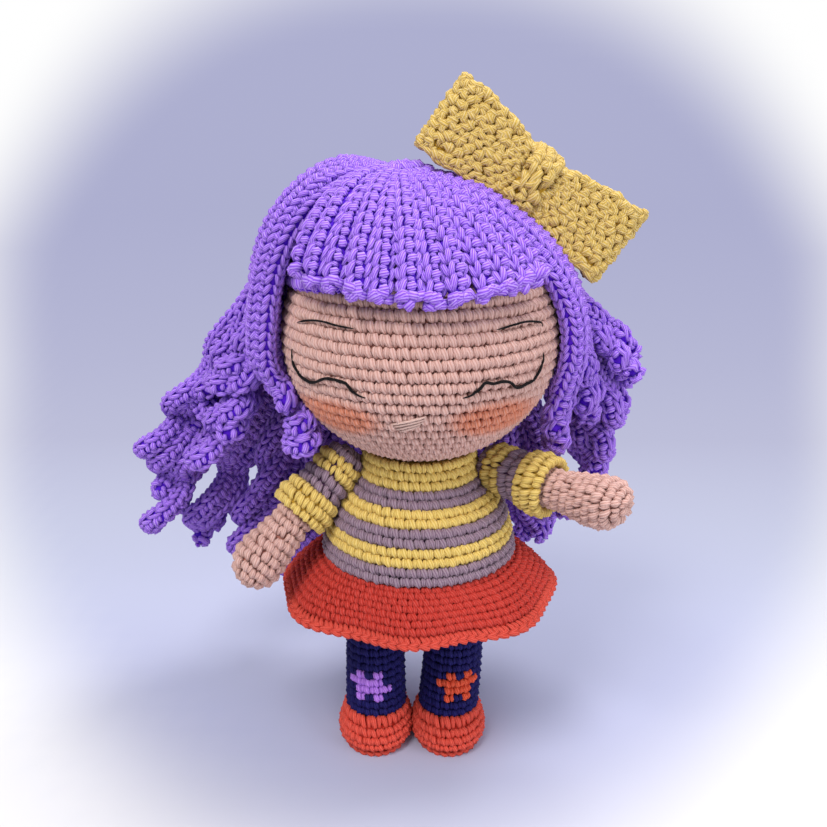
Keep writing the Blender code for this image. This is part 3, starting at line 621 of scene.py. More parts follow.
def make_face():
    for side in ("right", "left"):
        for piece, shares in (("eye", EYE_SHARES), ("brow", BROW_SHARES)):
            work = Work(f"{side}_{piece}_stitches", 3)
            laid_thread(work, shares[side], piece, "black")
            work.finish("head", [f"{side}_{piece}_thread"])
    work = Work("nose_satin", 4)
    for shares in NOSE_SHARES:
        laid_thread(work, shares, "nose", "pale")
    work.finish("head", ["nose_stitches"])


# Hair

CROWN_DEG = 11
CROWN_LIFT = 0.0024
CROWN_LIFT_DEG = 45
RIGHT_LIFT = 0.0065
LEFT_LIFT = 0.0022
SIDE_LIFT_DEG = 35
SIDE_LIFT_REACH_DEG = 50
FACE_EDGE_DEG = 72
FRINGE_SPAN_DEG = 108
FRINGE_HEM_SHARES = (0.47, 0.44, 0.43, 0.40, 0.385, 0.37, 0.37, 0.375, 0.40, 0.415, 0.44, 0.45)
FRINGE_STRAYS = (0.0, 0.05, -0.05, 0.04, -0.04, 0.05, 0.0, -0.10, 0.12, -0.04, 0.10, 0.0)
STRAND_DEPTH = 0.0046
STRAND_ROOT_WIDTH = 0.0040
STRAND_ROOT_DEPTH = 0.0030
# How far from its root a strand has its full size, how narrow it gets at its tip, and its plain cloth:
# how far it starts and ends inside the strand, how deep it lies, and the size of its facets
STRAND_GROWTH = 0.016
STRAND_TIP_SHARE = 0.06
STRAND_ENDS = (0.0005, 0.0004)
STRAND_SINK = 0.0003
STRAND_FACETS = 10
STRAND_ROW = 0.0018
STRAND_FEWEST_ROWS = 12
# The loops in each step of a strand: where each starts and ends round the strand, in radians from the
# way that it faces, where it starts and ends along the step, as shares of it, its rise and its girth
FRINGE_LOOPS = (
    (0.20, 0.58, -0.72, 0.50, 1.1, 1.0), (1.20, 0.72, -0.66, 0.52, 1.0, 1.0),
    (-0.66, -0.06, -0.10, 0.06, 1.0, 1.30), (-0.56, 0.04, 0.52, 0.40, 0.6, 0.85),
    (-1.30, -0.98, -0.74, 0.50, 0.9, 0.90),
)
LOCK_LOOPS = (
    (0.30, 0.76, -0.76, 0.50, 0.9, 1.1), (1.42, 0.88, -0.72, 0.52, 0.7, 1.0),
    (-0.60, 0.24, 0.12, -0.10, 0.8, 1.45), (-1.34, -0.70, -0.70, 0.48, 0.8, 1.1),
    (-0.50, 0.16, 0.60, 0.46, 0.4, 1.15),
)
LOCK_PITCH = 0.0028
# Each kind of strand: its width, its yarn's radius, the length of a step, its loops, the turns at which it
# has them, and those of the knot that closes its tip
FRINGE_KIND = (0.0054, 0.00090, 0.0035, FRINGE_LOOPS, (0.0,), (0.25, 0.9, -0.35, -1.0, 1.5, 0.0, 0.6))
LOCK_KIND = (
    0.0063, 0.00074, LOCK_PITCH, LOCK_LOOPS, (0.0, math.pi), (0.35, 1.25, -0.65, 2.3, -1.9, 3.1, 0.0),
)
LOBE_RINGS = 4
LOBE_LOOSE = 0.05
# How far sideways the third strand of a lock hangs, to fill the gap beside it
LOCK_FILLS = {"right_lock_6": 0.004, "right_lock_7": 0.0090, "right_lock_8": -0.0100, "left_lock_8": 0.005}
# Further strands, by how many steps they hang beside the lock, where the photograph shows no gap
MORE_STRANDS = {"right_lock_8": (-2, 2), "right_lock_7": (2,), "right_lock_6": (-2,)}
# The strands of a lock: by how many steps each hangs beside it, how far it stands proud, how much
# shorter it is, and its size. The middle one differs from lock to lock, and back locks have none.
OUTER_STRANDS = ((-1, -0.0006, 0.003, 0.98), (1, 0.0008, 0.0, 0.98))
FILL_SHORTER, LEFT_SHORTER, RIGHT_SHORTER = 0.004, 0.007, 0.012
LEFT_PROUD, RIGHT_PROUD = 0.0012, 0.0030
STRAND_STEP = 0.0042
LEFT_CURL, RIGHT_CURL = 0.35, 0.85
LOCK_START_SHARE = 0.9
LOCK_FALL_SHARE = 0.7
LOCK_SWING_SHARE = 0.3
# How a route is divided over the head and below it, and where along its fall it starts to curl
HEAD_PLACES = 60
FALL_PLACES = 200
CURL_START = 0.12
CURL_REACH = 0.55

# Long strands, from the face's edge to the back: each tip's place in shares of the head's radius,
# sideways, back and below the head's middle, and how far down from the crown, in degrees, they leave
# the head
RIGHT_LOCKS = (
    (0.89, -0.06, 0.82, 96), (1.48, 0.10, 0.80, 76), (1.70, 0.28, 1.10, 60), (2.14, 0.46, 1.46, 51),
    (2.18, 0.61, 1.84, 52), (1.90, 0.85, 2.10, 57), (1.53, 1.04, 2.34, 63.5), (1.06, 1.17, 2.56, 73),
)
LEFT_LOCKS = (
    (1.06, 0.02, 0.92, 94), (1.34, 0.16, 0.76, 80), (1.62, 0.26, 0.46, 70), (1.60, 0.42, 0.92, 70),
    (1.56, 0.54, 1.22, 74), (1.50, 0.66, 1.44, 80), (1.26, 0.82, 1.88, 84), (1.02, 1.02, 2.20, 90),
)
BACK_LOCKS = (
    (0.60, 1.04, 2.12, 94), (0.31, 1.08, 2.22, 94), (0.03, 1.10, 2.12, 94), (-0.28, 1.08, 2.22, 94),
    (-0.55, 1.05, 2.14, 86),
)


def fading(polar_deg, middle_deg, reach_deg):
    away = np.minimum(1, np.abs(polar_deg - middle_deg) / reach_deg)
    return np.cos(away * math.pi / 2) ** 2


def hair_lift(polar_deg, azimuth_deg):
    """The strands bunch up round the crown and on the doll's right, and lie flatter on its left."""
    aside = np.sin(np.radians(azimuth_deg))
    side = np.where(aside > 0, LEFT_LIFT, RIGHT_LIFT)
    lift = CROWN_LIFT * fading(polar_deg, 0, CROWN_LIFT_DEG)
    return lift - side * aside * fading(polar_deg, SIDE_LIFT_DEG, SIDE_LIFT_REACH_DEG)


def head_points(polar_deg, azimuth_deg, proud):
    """Points over the head, from the head's middle: polar from the crown, azimuth from the front to +X."""
    polar, azimuth = np.radians(polar_deg), np.radians(azimuth_deg)
    rise = np.where(polar < math.pi / 2, HEAD_RISE, HEAD_DROP) + proud
    reach = (HEAD_RADIUS + proud) * np.sin(polar)
    return np.stack([reach * np.sin(azimuth), -reach * np.cos(azimuth), rise * np.cos(polar)], -1)


def strand_route(azimuth, leave_azimuth, leave_deg, tip=None, lift=0.0, curl=0.0, turns=3.0):
    """The middle line of a strand over the cap and down to its tip, with the way that it faces."""
    share = np.linspace(0, 1, HEAD_PLACES)
    polar = CROWN_DEG - 3 + (leave_deg - CROWN_DEG + 3) * share
    turn = azimuth + (leave_azimuth - azimuth) * share
    proud = STRAND_INSIDE + STRAND_DEPTH / 2 + hair_lift(polar, turn) + lift * np.minimum(1, share * 4)
    points = head_points(polar, turn, proud)
    out = unit(points)
    lean = -math.radians(CROWN_LEAN_DEG) * (1 - share)
    for values in (points, out):
        x, z = values[:, 0].copy(), values[:, 2].copy()
        values[:, 0] = x * np.cos(lean) + z * np.sin(lean)
        values[:, 2] = z * np.cos(lean) - x * np.sin(lean)
    if tip is not None:
        start, along = points[-1], unit(points[-1] - points[-2])
        reach = np.linalg.norm(tip - start)
        outward = unit(tip * (1, 1, 0))
        first = along * reach * LOCK_START_SHARE
        last = reach * (outward * LOCK_SWING_SHARE - np.array([0, 0, LOCK_FALL_SHARE]))
        t = np.linspace(0, 1, FALL_PLACES)[1:, None]
        free = start * (2 * t ** 3 - 3 * t ** 2 + 1) + first * (t ** 3 - 2 * t ** 2 + t)
        free = free + tip * (3 * t ** 2 - 2 * t ** 3) + last * (t ** 3 - t ** 2)
        sideways = unit(np.cross(outward, (0, 0, 1)))
        phase = 2 * math.pi * turns * t ** 1.7
        grow = np.clip((t - CURL_START) / CURL_REACH, 0, 1) ** 1.5
        coil = curl * grow * (sideways * np.sin(phase) + outward * (np.cos(phase) - 1) * 0.5)
        free = free + coil - coil[-1] * t ** 2
        ahead = np.array([0, -1.0 if tip[1] < 0 else 1.0, 0])
        way = unit(free * (1, 1, 0)) * (1 - t) + ahead * t
        points = np.concatenate([points, free])
        out = np.concatenate([out, unit(way)])
    return points + (AXIS_X, AXIS_Y, HEAD_Z), out


class Strand:
    """The oval skin of a strand: u is the angle from the way that it faces, v the distance from its root."""

    def __init__(self, line, out, width, depth):
        self.reach, self.line = even_line(line)
        self.length = self.reach[-1]
        self.out = out
        self.along = unit(np.gradient(line, axis=0))
        self.width, self.depth = width, depth

    def __call__(self, u, v):
        along = unit(sample(self.reach, self.along, v))
        across = unit(np.cross(along, sample(self.reach, self.out, v)))
        up = np.cross(across, along)
        wide = np.interp(v, self.reach, self.width)[..., None] / 2
        deep = np.interp(v, self.reach, self.depth)[..., None] / 2
        sine, cosine = np.sin(u)[..., None], np.cos(u)[..., None]
        # Past the tip, the skin closes over the end.
        middle = sample(self.reach, self.line, v) + along * np.clip(v - self.length, 0, None)[..., None]
        points = middle + across * sine * wide + up * cosine * deep
        return points, unit(across * sine / wide + up * cosine / deep)


def lobe_row(work, strand, u_start, u_end, v, start, end, rise, girth):
    """One loop at each place v: it runs from u_start to u_end, and from start to end past v."""
    step = np.linspace(0, 1, LOBE_RINGS)
    hump = np.sin(np.pi * step)
    shake = work.chance.normal(0, LOBE_LOOSE, (3, len(v), 1))
    u = u_start + (u_end - u_start) * step + shake[0]
    at = v[:, None] + (start + (end - start) * step) + shake[1] * LOCK_PITCH
    points, out = strand(u, at)
    points = points + out * (girth * (rise * hump - 0.35))[None, :, None]
    work.tubes(points, out, girth * (0.62 + 0.46 * hump) * (1 + shake[2]), "violet", LOOP_SIDES)


def work_strand(work, line, out, kind, mirrored=False, size=1.0):
    """A crocheted strand: a braid along one edge, a rope along the other, and knots between them."""
    wide, yarn, pitch, loops, turns, tip_turns = kind
    wide, yarn = wide * size, yarn * size
    reach, line = even_line(line)
    length = reach[-1]
    grow = np.clip(reach / STRAND_GROWTH, 0, 1)
    close = np.sqrt(np.clip((length - reach) / (wide / 2), STRAND_TIP_SHARE, 1))
    width = (STRAND_ROOT_WIDTH + (wide - STRAND_ROOT_WIDTH) * grow) * close
    depth = (STRAND_ROOT_DEPTH + (STRAND_DEPTH * size - STRAND_ROOT_DEPTH) * grow) * close
    strand = Strand(line, out, width, depth)
    rows = max(STRAND_FEWEST_ROWS, round(length / STRAND_ROW))
    down = np.linspace(STRAND_ENDS[0], length - STRAND_ENDS[1], rows)
    # Under the loops lies plain cloth in painted shade.
    work.cloth(strand, circle(STRAND_FACETS)[::-1], down, "base_violet", -STRAND_SINK, ends=(True, True))
    sign = -1 if mirrored else 1
    v = np.arange(0.6 * pitch, length - 0.7 * pitch, pitch)
    for turn in turns:
        for u_start, u_end, start, end, rise, thick in loops:
            u_start, u_end = turn + sign * u_start, turn + sign * u_end
            lobe_row(work, strand, u_start, u_end, v, start * pitch, end * pitch, rise, yarn * thick)
    # A knot of short fat loops closes the tip.
    for turn in tip_turns:
        back = np.array([length - (0.8 + 2.6 * work.chance.random()) * yarn])
        across = work.chance.uniform(0.35, 0.75)
        tilt = work.chance.uniform(-0.9, 0.9) * yarn
        lobe_row(work, strand, turn - across, turn + across, back, -tilt, tilt + 0.6 * yarn, 1.2, yarn * 1.45)


def make_fringe():
    count = len(FRINGE_HEM_SHARES)
    spread = FRINGE_SPAN_DEG / count
    for pair in range(count // 2):
        work = Work(f"fringe_pair_{pair + 1}", 20 + pair)
        for i in (2 * pair, 2 * pair + 1):
            azimuth = -FRINGE_SPAN_DEG / 2 + spread * (i + 0.5 + FRINGE_STRAYS[i])
            hem = math.degrees(math.acos(FRINGE_HEM_SHARES[i] * HEAD_RADIUS / (HEAD_RISE + STRAND_INSIDE)))
            line, out = strand_route(azimuth - FRINGE_STRAYS[i] * spread, azimuth, hem, lift=0.0008 * (i % 2))
            work_strand(work, line, out, FRINGE_KIND)
        work.finish("head", [f"fringe_{pair + 1}"])


def long_strands():
    """(node, azimuth at the crown, azimuth where it leaves the head, tip) of each long lock."""
    places = [("left", 1, shares) for shares in LEFT_LOCKS]
    places += [("back", 1, shares) for shares in BACK_LOCKS]
    places += [("right", -1, shares) for shares in RIGHT_LOCKS[::-1]]
    circle = 360 - FRINGE_SPAN_DEG
    spread = circle / len(places)
    draw_back = (180 - FACE_EDGE_DEG) / (circle / 2)
    numbers = {"left": 0, "back": 0, "right": len(RIGHT_LOCKS) + 1}
    found = []
    for i, (side, sign, (aside, behind, below, leave_deg)) in enumerate(places):
        azimuth = FRINGE_SPAN_DEG / 2 + spread * (i + 0.5)
        leave = 180 + (azimuth - 180) * draw_back
        numbers[side] += -1 if side == "right" else 1
        tip = HEAD_RADIUS * np.array([sign * aside, behind, -below])
        found.append((f"{side}_lock_{numbers[side]}", azimuth, leave, leave_deg, spread, draw_back, tip))
    return found


def make_long_hair():
    for number, (node, azimuth, leave, leave_deg, spread, draw_back, tip) in enumerate(long_strands()):
        work = Work(node + "_strands", 40 + number)
        chance = work.chance
        way = unit(tip * (1, 1, 0))
        across = np.cross((0, 0, 1), way)
        fill = LOCK_FILLS.get(node, 0.0)
        left = node.startswith("left")
        strands = list(OUTER_STRANDS)
        if not node.startswith("back"):
            shorter = FILL_SHORTER if fill else LEFT_SHORTER if left else RIGHT_SHORTER
            strands.append((0, LEFT_PROUD if left else RIGHT_PROUD, shorter, 0.92))
        strands += [(half, -0.0010, 0.007, 0.98) for half in MORE_STRANDS.get(node, ())]
        for half, proud, short, size in strands:
            aside = half * spread / 3.6
            place = tip + across * half * STRAND_STEP + way * proud
            place = place + ((0 if half else fill), 0, short * (0.7 + 0.6 * chance.random()))
            curl = (0.0036 + 0.0024 * chance.random()) * (1 if (number + half) % 2 else -1)
            curl = curl * (LEFT_CURL if left else RIGHT_CURL)
            line, out = strand_route(
                azimuth + aside, leave + aside * draw_back, leave_deg, place,
                lift=proud, curl=curl, turns=2.4 + 1.2 * chance.random(),
            )
            work_strand(work, line, out, LOCK_KIND, mirrored=half < 0, size=size)
        made = work.finish(None, [node])
        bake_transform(made)


CAP_PROUD = 0.0022
CAP_FIRST_ROUND = 0.010
CAP_EDGE = 0.0003
KNOT_EDGE = 0.0006
KNOT_PROFILE = ((0.0001, 0.0486), (0.0035, 0.0484), (0.0068, 0.0472), (0.0086, 0.0450), (0.0090, 0.0415))


def make_wig_cap():
    work = Work("wig_cap_work", 5)
    matrix = head_matrix(CROWN_LEAN_DEG)
    cap = Turned(head_outline(CAP_PROUD, CAP_EDGE_DEG), matrix, smooth=False)
    knot = Turned(KNOT_PROFILE, matrix)
    for name, surface, start in (("cap", cap, CAP_FIRST_ROUND), ("knot", knot, KNOT_EDGE)):
        work.plain(surface, name, "violet", CAP_EDGE, ends=(True, False))
        rounds(work, surface, even_edges(start, surface.length, name), "violet", name)
    work.finish("head", ["wig_cap"])


# Sweater

SWEATER_PROFILE = (
    (0.0165, 0.1027), (0.0165, 0.0999), (0.0182, 0.0942), (0.0232, 0.0877),
    (0.0264, 0.0821), (0.0290, 0.0717), (0.0287, 0.0693),
)
LIP_PROFILE = ((0.0097, 0.1022), (0.0130, 0.1026), (0.0163, 0.1024))
SEAT_PROFILE = ((0.0266, 0.0690), (0.0250, 0.0642), (0.0226, 0.0582), (0.0100, 0.0580), (0.0002, 0.0580))
SEAT_EDGE = 0.001
STRIPES = ["yellow"] * 3 + ["mauve"] * 2 + ["yellow"] * 2 + ["mauve"] * 2 + ["yellow"] * 2 + ["mauve"] * 2


def make_sweater():
    work = Work("sweater", 6)
    surface = Turned(SWEATER_PROFILE)
    lip, seat = Turned(LIP_PROFILE, smooth=False), Turned(SEAT_PROFILE, smooth=False)
    work.plain(lip, "lip", "yellow")
    edges = np.linspace(0, surface.length, len(STRIPES) + 1)
    for colour, top, foot in zip(STRIPES, edges, edges[1:]):
        work.plain(surface, "sweater", colour, top, foot)
    work.plain(seat, "seat", "red", ends=(False, True))
    rounds(work, surface, edges, STRIPES, "sweater")
    rounds(work, seat, even_edges(SEAT_EDGE, seat.length - SEAT_EDGE, "seat"), "red", "seat")
    made = work.finish("body", ["body_cover"])


# Skirt

SKIRT_TOP = 0.0680
SKIRT_WAIST_RADIUS = 0.0279
SKIRT_FRONT_RADIUS = 0.0358
SKIRT_SIDE_RADIUS = 0.0428
SKIRT_FRONT_LENGTH = 0.0136
SKIRT_SIDE_LENGTH = 0.0130
SKIRT_WAVE = 0.0014
SKIRT_FOLDS = 7
SKIRT_PHASE_DEG = 25
SKIRT_ROUNDS = 7
SKIRT_HEM_RADIUS = (SKIRT_FRONT_RADIUS + SKIRT_SIDE_RADIUS) / 2
SKIRT_HALF = CLOTHS["skirt"][3]
# Where the rounds end, and the braid below them: each row's place, height, yarn and legs
SKIRT_ROUNDS_SHARE = 0.84
SKIRT_BRAID_STITCHES = 78
SKIRT_BRAID = (
    (0.895, 0.12, 0.00068, (((-0.40, -0.50), (0.05, 0.50)), ((0.08, -0.50), (0.55, 0.50)))),
    (0.975, 0.07, 0.00078, (((-0.85, 0.60), (0.45, -0.55)),)),
    (1.0, 0.05, 0.00078, (((-0.85, -0.60), (0.45, 0.60)),)),
)


def skirt_place(u, share):
    aside = np.cos(u) ** 2
    hem = SKIRT_FRONT_RADIUS + (SKIRT_SIDE_RADIUS - SKIRT_FRONT_RADIUS) * aside
    length = SKIRT_FRONT_LENGTH + (SKIRT_SIDE_LENGTH - SKIRT_FRONT_LENGTH) * aside
    radius = SKIRT_WAIST_RADIUS + (hem - SKIRT_WAIST_RADIUS) * np.maximum(share, 0) ** 0.8
    radius = radius + SKIRT_WAVE * share * np.sin(SKIRT_FOLDS * u + math.radians(SKIRT_PHASE_DEG))
    height = SKIRT_TOP - length * np.maximum(share, 0) ** 1.25
    return np.stack([radius * np.cos(u) + AXIS_X, radius * np.sin(u) + AXIS_Y, height], -1)


class Skirt:
    """The skirt's outside, or its inside where side is -1: u is the angle, v runs from 0 to 1."""

    def __init__(self, side):
        self.side = side
        self.length = 1.0

    def radius(self, v):
        return SKIRT_WAIST_RADIUS + (SKIRT_HEM_RADIUS - SKIRT_WAIST_RADIUS) * v

    def __call__(self, u, v):
        out = facing(skirt_place, u, v, 0.002, 0.002, low=0.0) * -self.side
        return skirt_place(u, v) + out * SKIRT_HALF, out



def make_skirt():
    outside, inside = Skirt(1), Skirt(-1)
    work = Work("skirt_cloth", 7)
    work.plain(outside, "skirt", "red")
    cloth = work.finish("body", ["skirt"])
    work = Work("skirt_stitches", 8)
    edges = np.linspace(0.0, SKIRT_ROUNDS_SHARE, SKIRT_ROUNDS + 1)
    rounds(work, outside, edges, "red", "skirt")
    rounds(work, inside, edges, "red", "skirt_inside")
    u, step = circle(SKIRT_BRAID_STITCHES), 2 * math.pi / SKIRT_BRAID_STITCHES
    for side in (outside, inside):
        for share, high, yarn, legs in SKIRT_BRAID:
            stitch_row(work, side, u, share, step, high, "hem", yarn, legs)
    trim = work.finish("body", ())


# Legs and shoes

LEG_X = {"right": AXIS_X - 0.0018 - 0.0121, "left": AXIS_X - 0.0018 + 0.0121}
LEG_TOP = 0.0577
# How far each leg leans outwards at its top
LEG_LEAN = {"right": -0.0003, "left": 0.0020}
SHOE_HEIGHT = 0.0108
LEG_SECTIONS = ((0.0084, LEG_TOP), (0.0083, 0.034), (0.0088, SHOE_HEIGHT))
# A shoe's half width, half length, how far forward its middle lies, and its height
SHOE_SECTIONS = (
    (0.0087, 0.0118, 0.0011, 0.0000), (0.0105, 0.0136, 0.0011, 0.0009), (0.0113, 0.0144, 0.0011, 0.0030),
    (0.0113, 0.0140, 0.0010, 0.0060), (0.0104, 0.0118, 0.0005, 0.0088), (0.0095, 0.0095, 0.0001, 0.0110),
)
# How far the rim's round stands over the shoe, and how far below its top the rounds' edges lie
SHOE_RIM = 0.0006
SHOE_EDGES = (0.0, 0.0044, 0.0070, 0.0095, 0.0112)
# The braid round the sole: each row's height above it and its legs
SHOE_BRAID = ((0.0023, (((-0.85, 0.5), (0.4, -0.5)),)), (0.0013, (((-0.85, -0.5), (0.4, 0.5)),)))
SHOE_BRAID_STITCHES = 26
SHOE_BRAID_HEIGHT = 0.0010
SHOE_BRAID_YARN = 0.00066
FLOWER_ROWS = {
    "right": (".X.X.", "XXXX.", ".XXXX", ".X.X."),
    "left": (".X.X.", "XXXXX", ".XXX.", ".X.X."),
}
LEG_ROUNDS = 17
FLOWER_ROUND = 11
FLOWER_TURN = 0.23
FLOWER_COLOURS = {"right": "lilac", "left": "orange"}


class Shoe:
    """An oval cup: u is the angle, v the distance up from the edge of the sole."""

    def __init__(self, x):
        self.x = x
        self.reach, self.sections = smooth_line(SHOE_SECTIONS)
        self.length = self.reach[-1]

    def radius(self, v):
        return np.interp(v, self.reach, (self.sections[:, 0] + self.sections[:, 1]) / 2)

    def place(self, u, v):
        wide, long, forward, height = np.moveaxis(sample(self.reach, self.sections, v), -1, 0)
        return np.stack([self.x + wide * np.cos(u), AXIS_Y - forward + long * np.sin(u), height], -1)

    def __call__(self, u, v):
        v = np.clip(v, 0, self.length)
        return self.place(u, v), facing(self.place, u, v, 0.01, 0.0002, 0, self.length)


def make_leg(side):
    leg = Work(side + "_legging_work", 9)
    turn = -FLOWER_TURN if side == "right" else FLOWER_TURN
    lean = LEG_LEAN[side]
    matrix = Matrix.Translation((LEG_X[side] + lean, AXIS_Y, 0)) @ Matrix.Rotation(turn, 4, "Z")
    surface = Turned(LEG_SECTIONS, matrix, bend=(-lean, 0, 0))
    leg.plain(surface, "legging", "indigo")
    flower, flower_rows = FLOWER_COLOURS[side], FLOWER_ROWS[side]
    wide = len(flower_rows[0])

    def colours(row, u, step):
        """The flower's colour where its rows have an X, counted from the middle of the leg's front."""
        line = row - FLOWER_ROUND
        found = []
        for angle in u:
            aside = (angle + math.pi / 2 + math.pi) % (2 * math.pi) - math.pi
            column = round(aside / step) + wide // 2
            inside = 0 <= line < len(flower_rows) and 0 <= column < wide
            found.append(flower if inside and flower_rows[line][column] == "X" else "indigo")
        return found

    rounds(leg, surface, np.linspace(0, surface.length, LEG_ROUNDS + 1), colours, "legging", slant=0.0)
    made = leg.finish("body", [side + "_legging"])

    shoe = Work(side + "_shoe_work", 10)
    surface = Shoe(LEG_X[side])
    shoe.plain(surface, "shoe", "shoe", ends=(True, False), backwards=True)
    edges = surface.length + SHOE_RIM - np.array(SHOE_EDGES)
    rounds(shoe, surface, edges[:2], "shoe", "shoe_rim")
    rounds(shoe, surface, edges[1:], "shoe", "shoe")
    u, step = circle(SHOE_BRAID_STITCHES), 2 * math.pi / SHOE_BRAID_STITCHES
    for low, legs in SHOE_BRAID:
        stitch_row(shoe, surface, u, low, step, SHOE_BRAID_HEIGHT, "shoe", SHOE_BRAID_YARN, legs)
    made = shoe.finish("body", [side + "_shoe"])


# Arms

ARM_FORWARD_DEG = {"right": 30, "left": 40}
ARM_DROP_DEG = {"right": 42, "left": 4}
HAND_BEND = {"right": (0.0, -0.0010, -0.0012), "left": (0.0, 0.0, 0.0030)}
SHOULDER_ASIDE = 0.0252
SHOULDER_FORWARD = 0.0036
SHOULDER_Z = 0.0965
SLEEVE_PROFILE = (
    (0.0002, 0.0066), (0.0035, 0.0057), (0.0058, 0.0036), (0.0067, 0.0008), (0.0067, -0.0045),
    (0.0067, -0.0100),
)
CUFF_PROFILE = (
    (0.0066, -0.0098), (0.0078, -0.0106), (0.0085, -0.0122), (0.0087, -0.0148), (0.0086, -0.0170),
    (0.0078, -0.0178), (0.0064, -0.0172),
)
HAND_PROFILE = (
    (0.0050, -0.0130), (0.0050, -0.0172), (0.0050, -0.0215), (0.0056, -0.0265), (0.0066, -0.0320),
    (0.0069, -0.0360), (0.0060, -0.0394), (0.0042, -0.0414), (0.0022, -0.0422), (0.0003, -0.0424),
)
SLEEVE_STRIPES = ["mauve", "mauve", "yellow", "yellow", "mauve", "mauve"]
# Where the plain sleeve starts, and where the stitches of each part of the arm start
SLEEVE_START = 0.0002
SLEEVE_EDGE, CUFF_EDGE, HAND_EDGE = 0.001, 0.0004, 0.003
SLEEVE_LOOSE, HAND_LOOSE = 0.07, 0.08


def make_arm(side):
    sign = -1 if side == "right" else 1
    forward, drop = math.radians(ARM_FORWARD_DEG[side]), math.radians(ARM_DROP_DEG[side])
    level = math.cos(drop)
    way = Vector((sign * level * math.cos(forward), -level * math.sin(forward), -math.sin(drop)))
    turn = Vector((0, 0, -1)).rotation_difference(way).to_matrix().to_4x4()
    place = (AXIS_X + sign * SHOULDER_ASIDE, AXIS_Y - SHOULDER_FORWARD, SHOULDER_Z)
    matrix = Matrix.Translation(place) @ turn
    work = Work(side + "_sleeve_work", 11)
    sleeve, cuff = Turned(SLEEVE_PROFILE, matrix), Turned(CUFF_PROFILE, matrix)
    work.plain(sleeve, "sleeve", "mauve", SLEEVE_START, ends=(True, True))
    edges = np.linspace(SLEEVE_EDGE, sleeve.length, len(SLEEVE_STRIPES) + 1)
    rounds(work, sleeve, edges, SLEEVE_STRIPES, "sleeve", loose=SLEEVE_LOOSE)
    work.plain(cuff, "cuff", "yellow")
    rounds(work, cuff, even_edges(CUFF_EDGE, cuff.length, "cuff"), "yellow", "cuff")
    made = work.finish(side + "_arm", [side + "_sleeve"])
    work = Work(side + "_hand_work", 12)
    hand = Turned(HAND_PROFILE, matrix, bend=HAND_BEND[side])
    work.plain(hand, "hand", "skin", ends=(True, True))
    rounds(work, hand, even_edges(HAND_EDGE, hand.length, "hand"), "skin", "hand", loose=HAND_LOOSE)
    made = work.finish(side + "_arm", [side + "_hand"])


# Bow

BOW_OFF_CROWN_DEG = 35
BOW_ANGLE_DEG = 36
BOW_RISE = 0.0541
BOW_LOOP_LENGTH = 0.0274
BOW_END_HEIGHT = 0.0224
BOW_WAIST_HEIGHT = 0.0120
BOW_DEPTH = 0.0092
BOW_WAIST_DEPTH = 0.0062
BOW_STITCH = 0.0033
BOW_WAVE = 0.0005
BOW_WAVE_LENGTH = 0.0016
BOW_START = 0.0024
BOW_YARN = 0.00088
BOW_LOOSE = 0.14
BOW_ROWS = 8
BOW_EDGE = 0.001
# The plain cloth of the bow: how far the inner layer lies inside the outer, and how deep both lie
BOW_LAYER = 0.0019
BOW_SINK = 0.0003
# The braid along its edges: its yarn, the length of a stitch, and where its two rows lie
BRAID_YARN = 0.00085
BRAID_STITCH = 0.0034
BRAID_ROWS = (0.0, -0.0011)
BRAID_REACH = 0.75
BRAID_TILT = 0.0004
# The band round the pinch
BAND_HALF_WIDE = 0.0045
BAND_HIGH = 0.0083
BAND_DEEP = 0.0052
BAND_BULGE = 0.0008
BAND_POWER = 0.6
BAND_STITCHES = 14
BAND_COLUMNS = 3
BAND_COLUMN = 0.0030
BAND_LOOSE = 0.12


def bow_matrix():
    off = math.radians(BOW_OFF_CROWN_DEG)
    place = Matrix.Translation((AXIS_X + BOW_RISE * math.sin(off), AXIS_Y, HEAD_Z + BOW_RISE * math.cos(off)))
    return place @ Matrix.Rotation(math.radians(BOW_ANGLE_DEG), 4, "Y")


class BowLoop:
    """A folded band: v runs out along the front, round the end and back, u goes up from -1 to 1."""

    def __init__(self, sign, inset=0.0):
        self.sign = sign
        share = np.linspace(0, 1, 12)
        depth = BOW_WAIST_DEPTH / 2 + (BOW_DEPTH - BOW_WAIST_DEPTH) / 2 * share - inset
        front = np.stack([BOW_START + (BOW_LOOP_LENGTH - BOW_START) * share, depth], 1)
        turn = np.linspace(math.pi / 2, -math.pi / 2, 10)[1:-1, None]
        corner = BOW_DEPTH / 2 - inset
        end = np.concatenate([BOW_LOOP_LENGTH + corner * np.cos(turn), corner * np.sin(turn)], 1)
        self.reach, self.line = even_line(np.concatenate([front, end, front[::-1] * (1, -1)]))
        self.length = self.reach[-1]
        self.turn = np.array(bow_matrix())

    def place(self, u, v):
        across, depth = np.moveaxis(sample(self.reach, self.line, v), -1, 0)
        share = np.clip(across / BOW_LOOP_LENGTH, 0, 1)
        high = (BOW_WAIST_HEIGHT + (BOW_END_HEIGHT - BOW_WAIST_HEIGHT) * np.sin(share * math.pi / 2)) / 2
        high = high + BOW_WAVE * np.sin(across / BOW_WAVE_LENGTH + self.sign) * share
        return np.stack([self.sign * across, -depth, u * high], -1)

    def __call__(self, u, v):
        v = np.clip(v, 0, self.length)
        out = facing(self.place, u, v, 0.05, 0.0004, 0, self.length) * -self.sign
        return turned_by(self.turn, self.place(u, v), out)


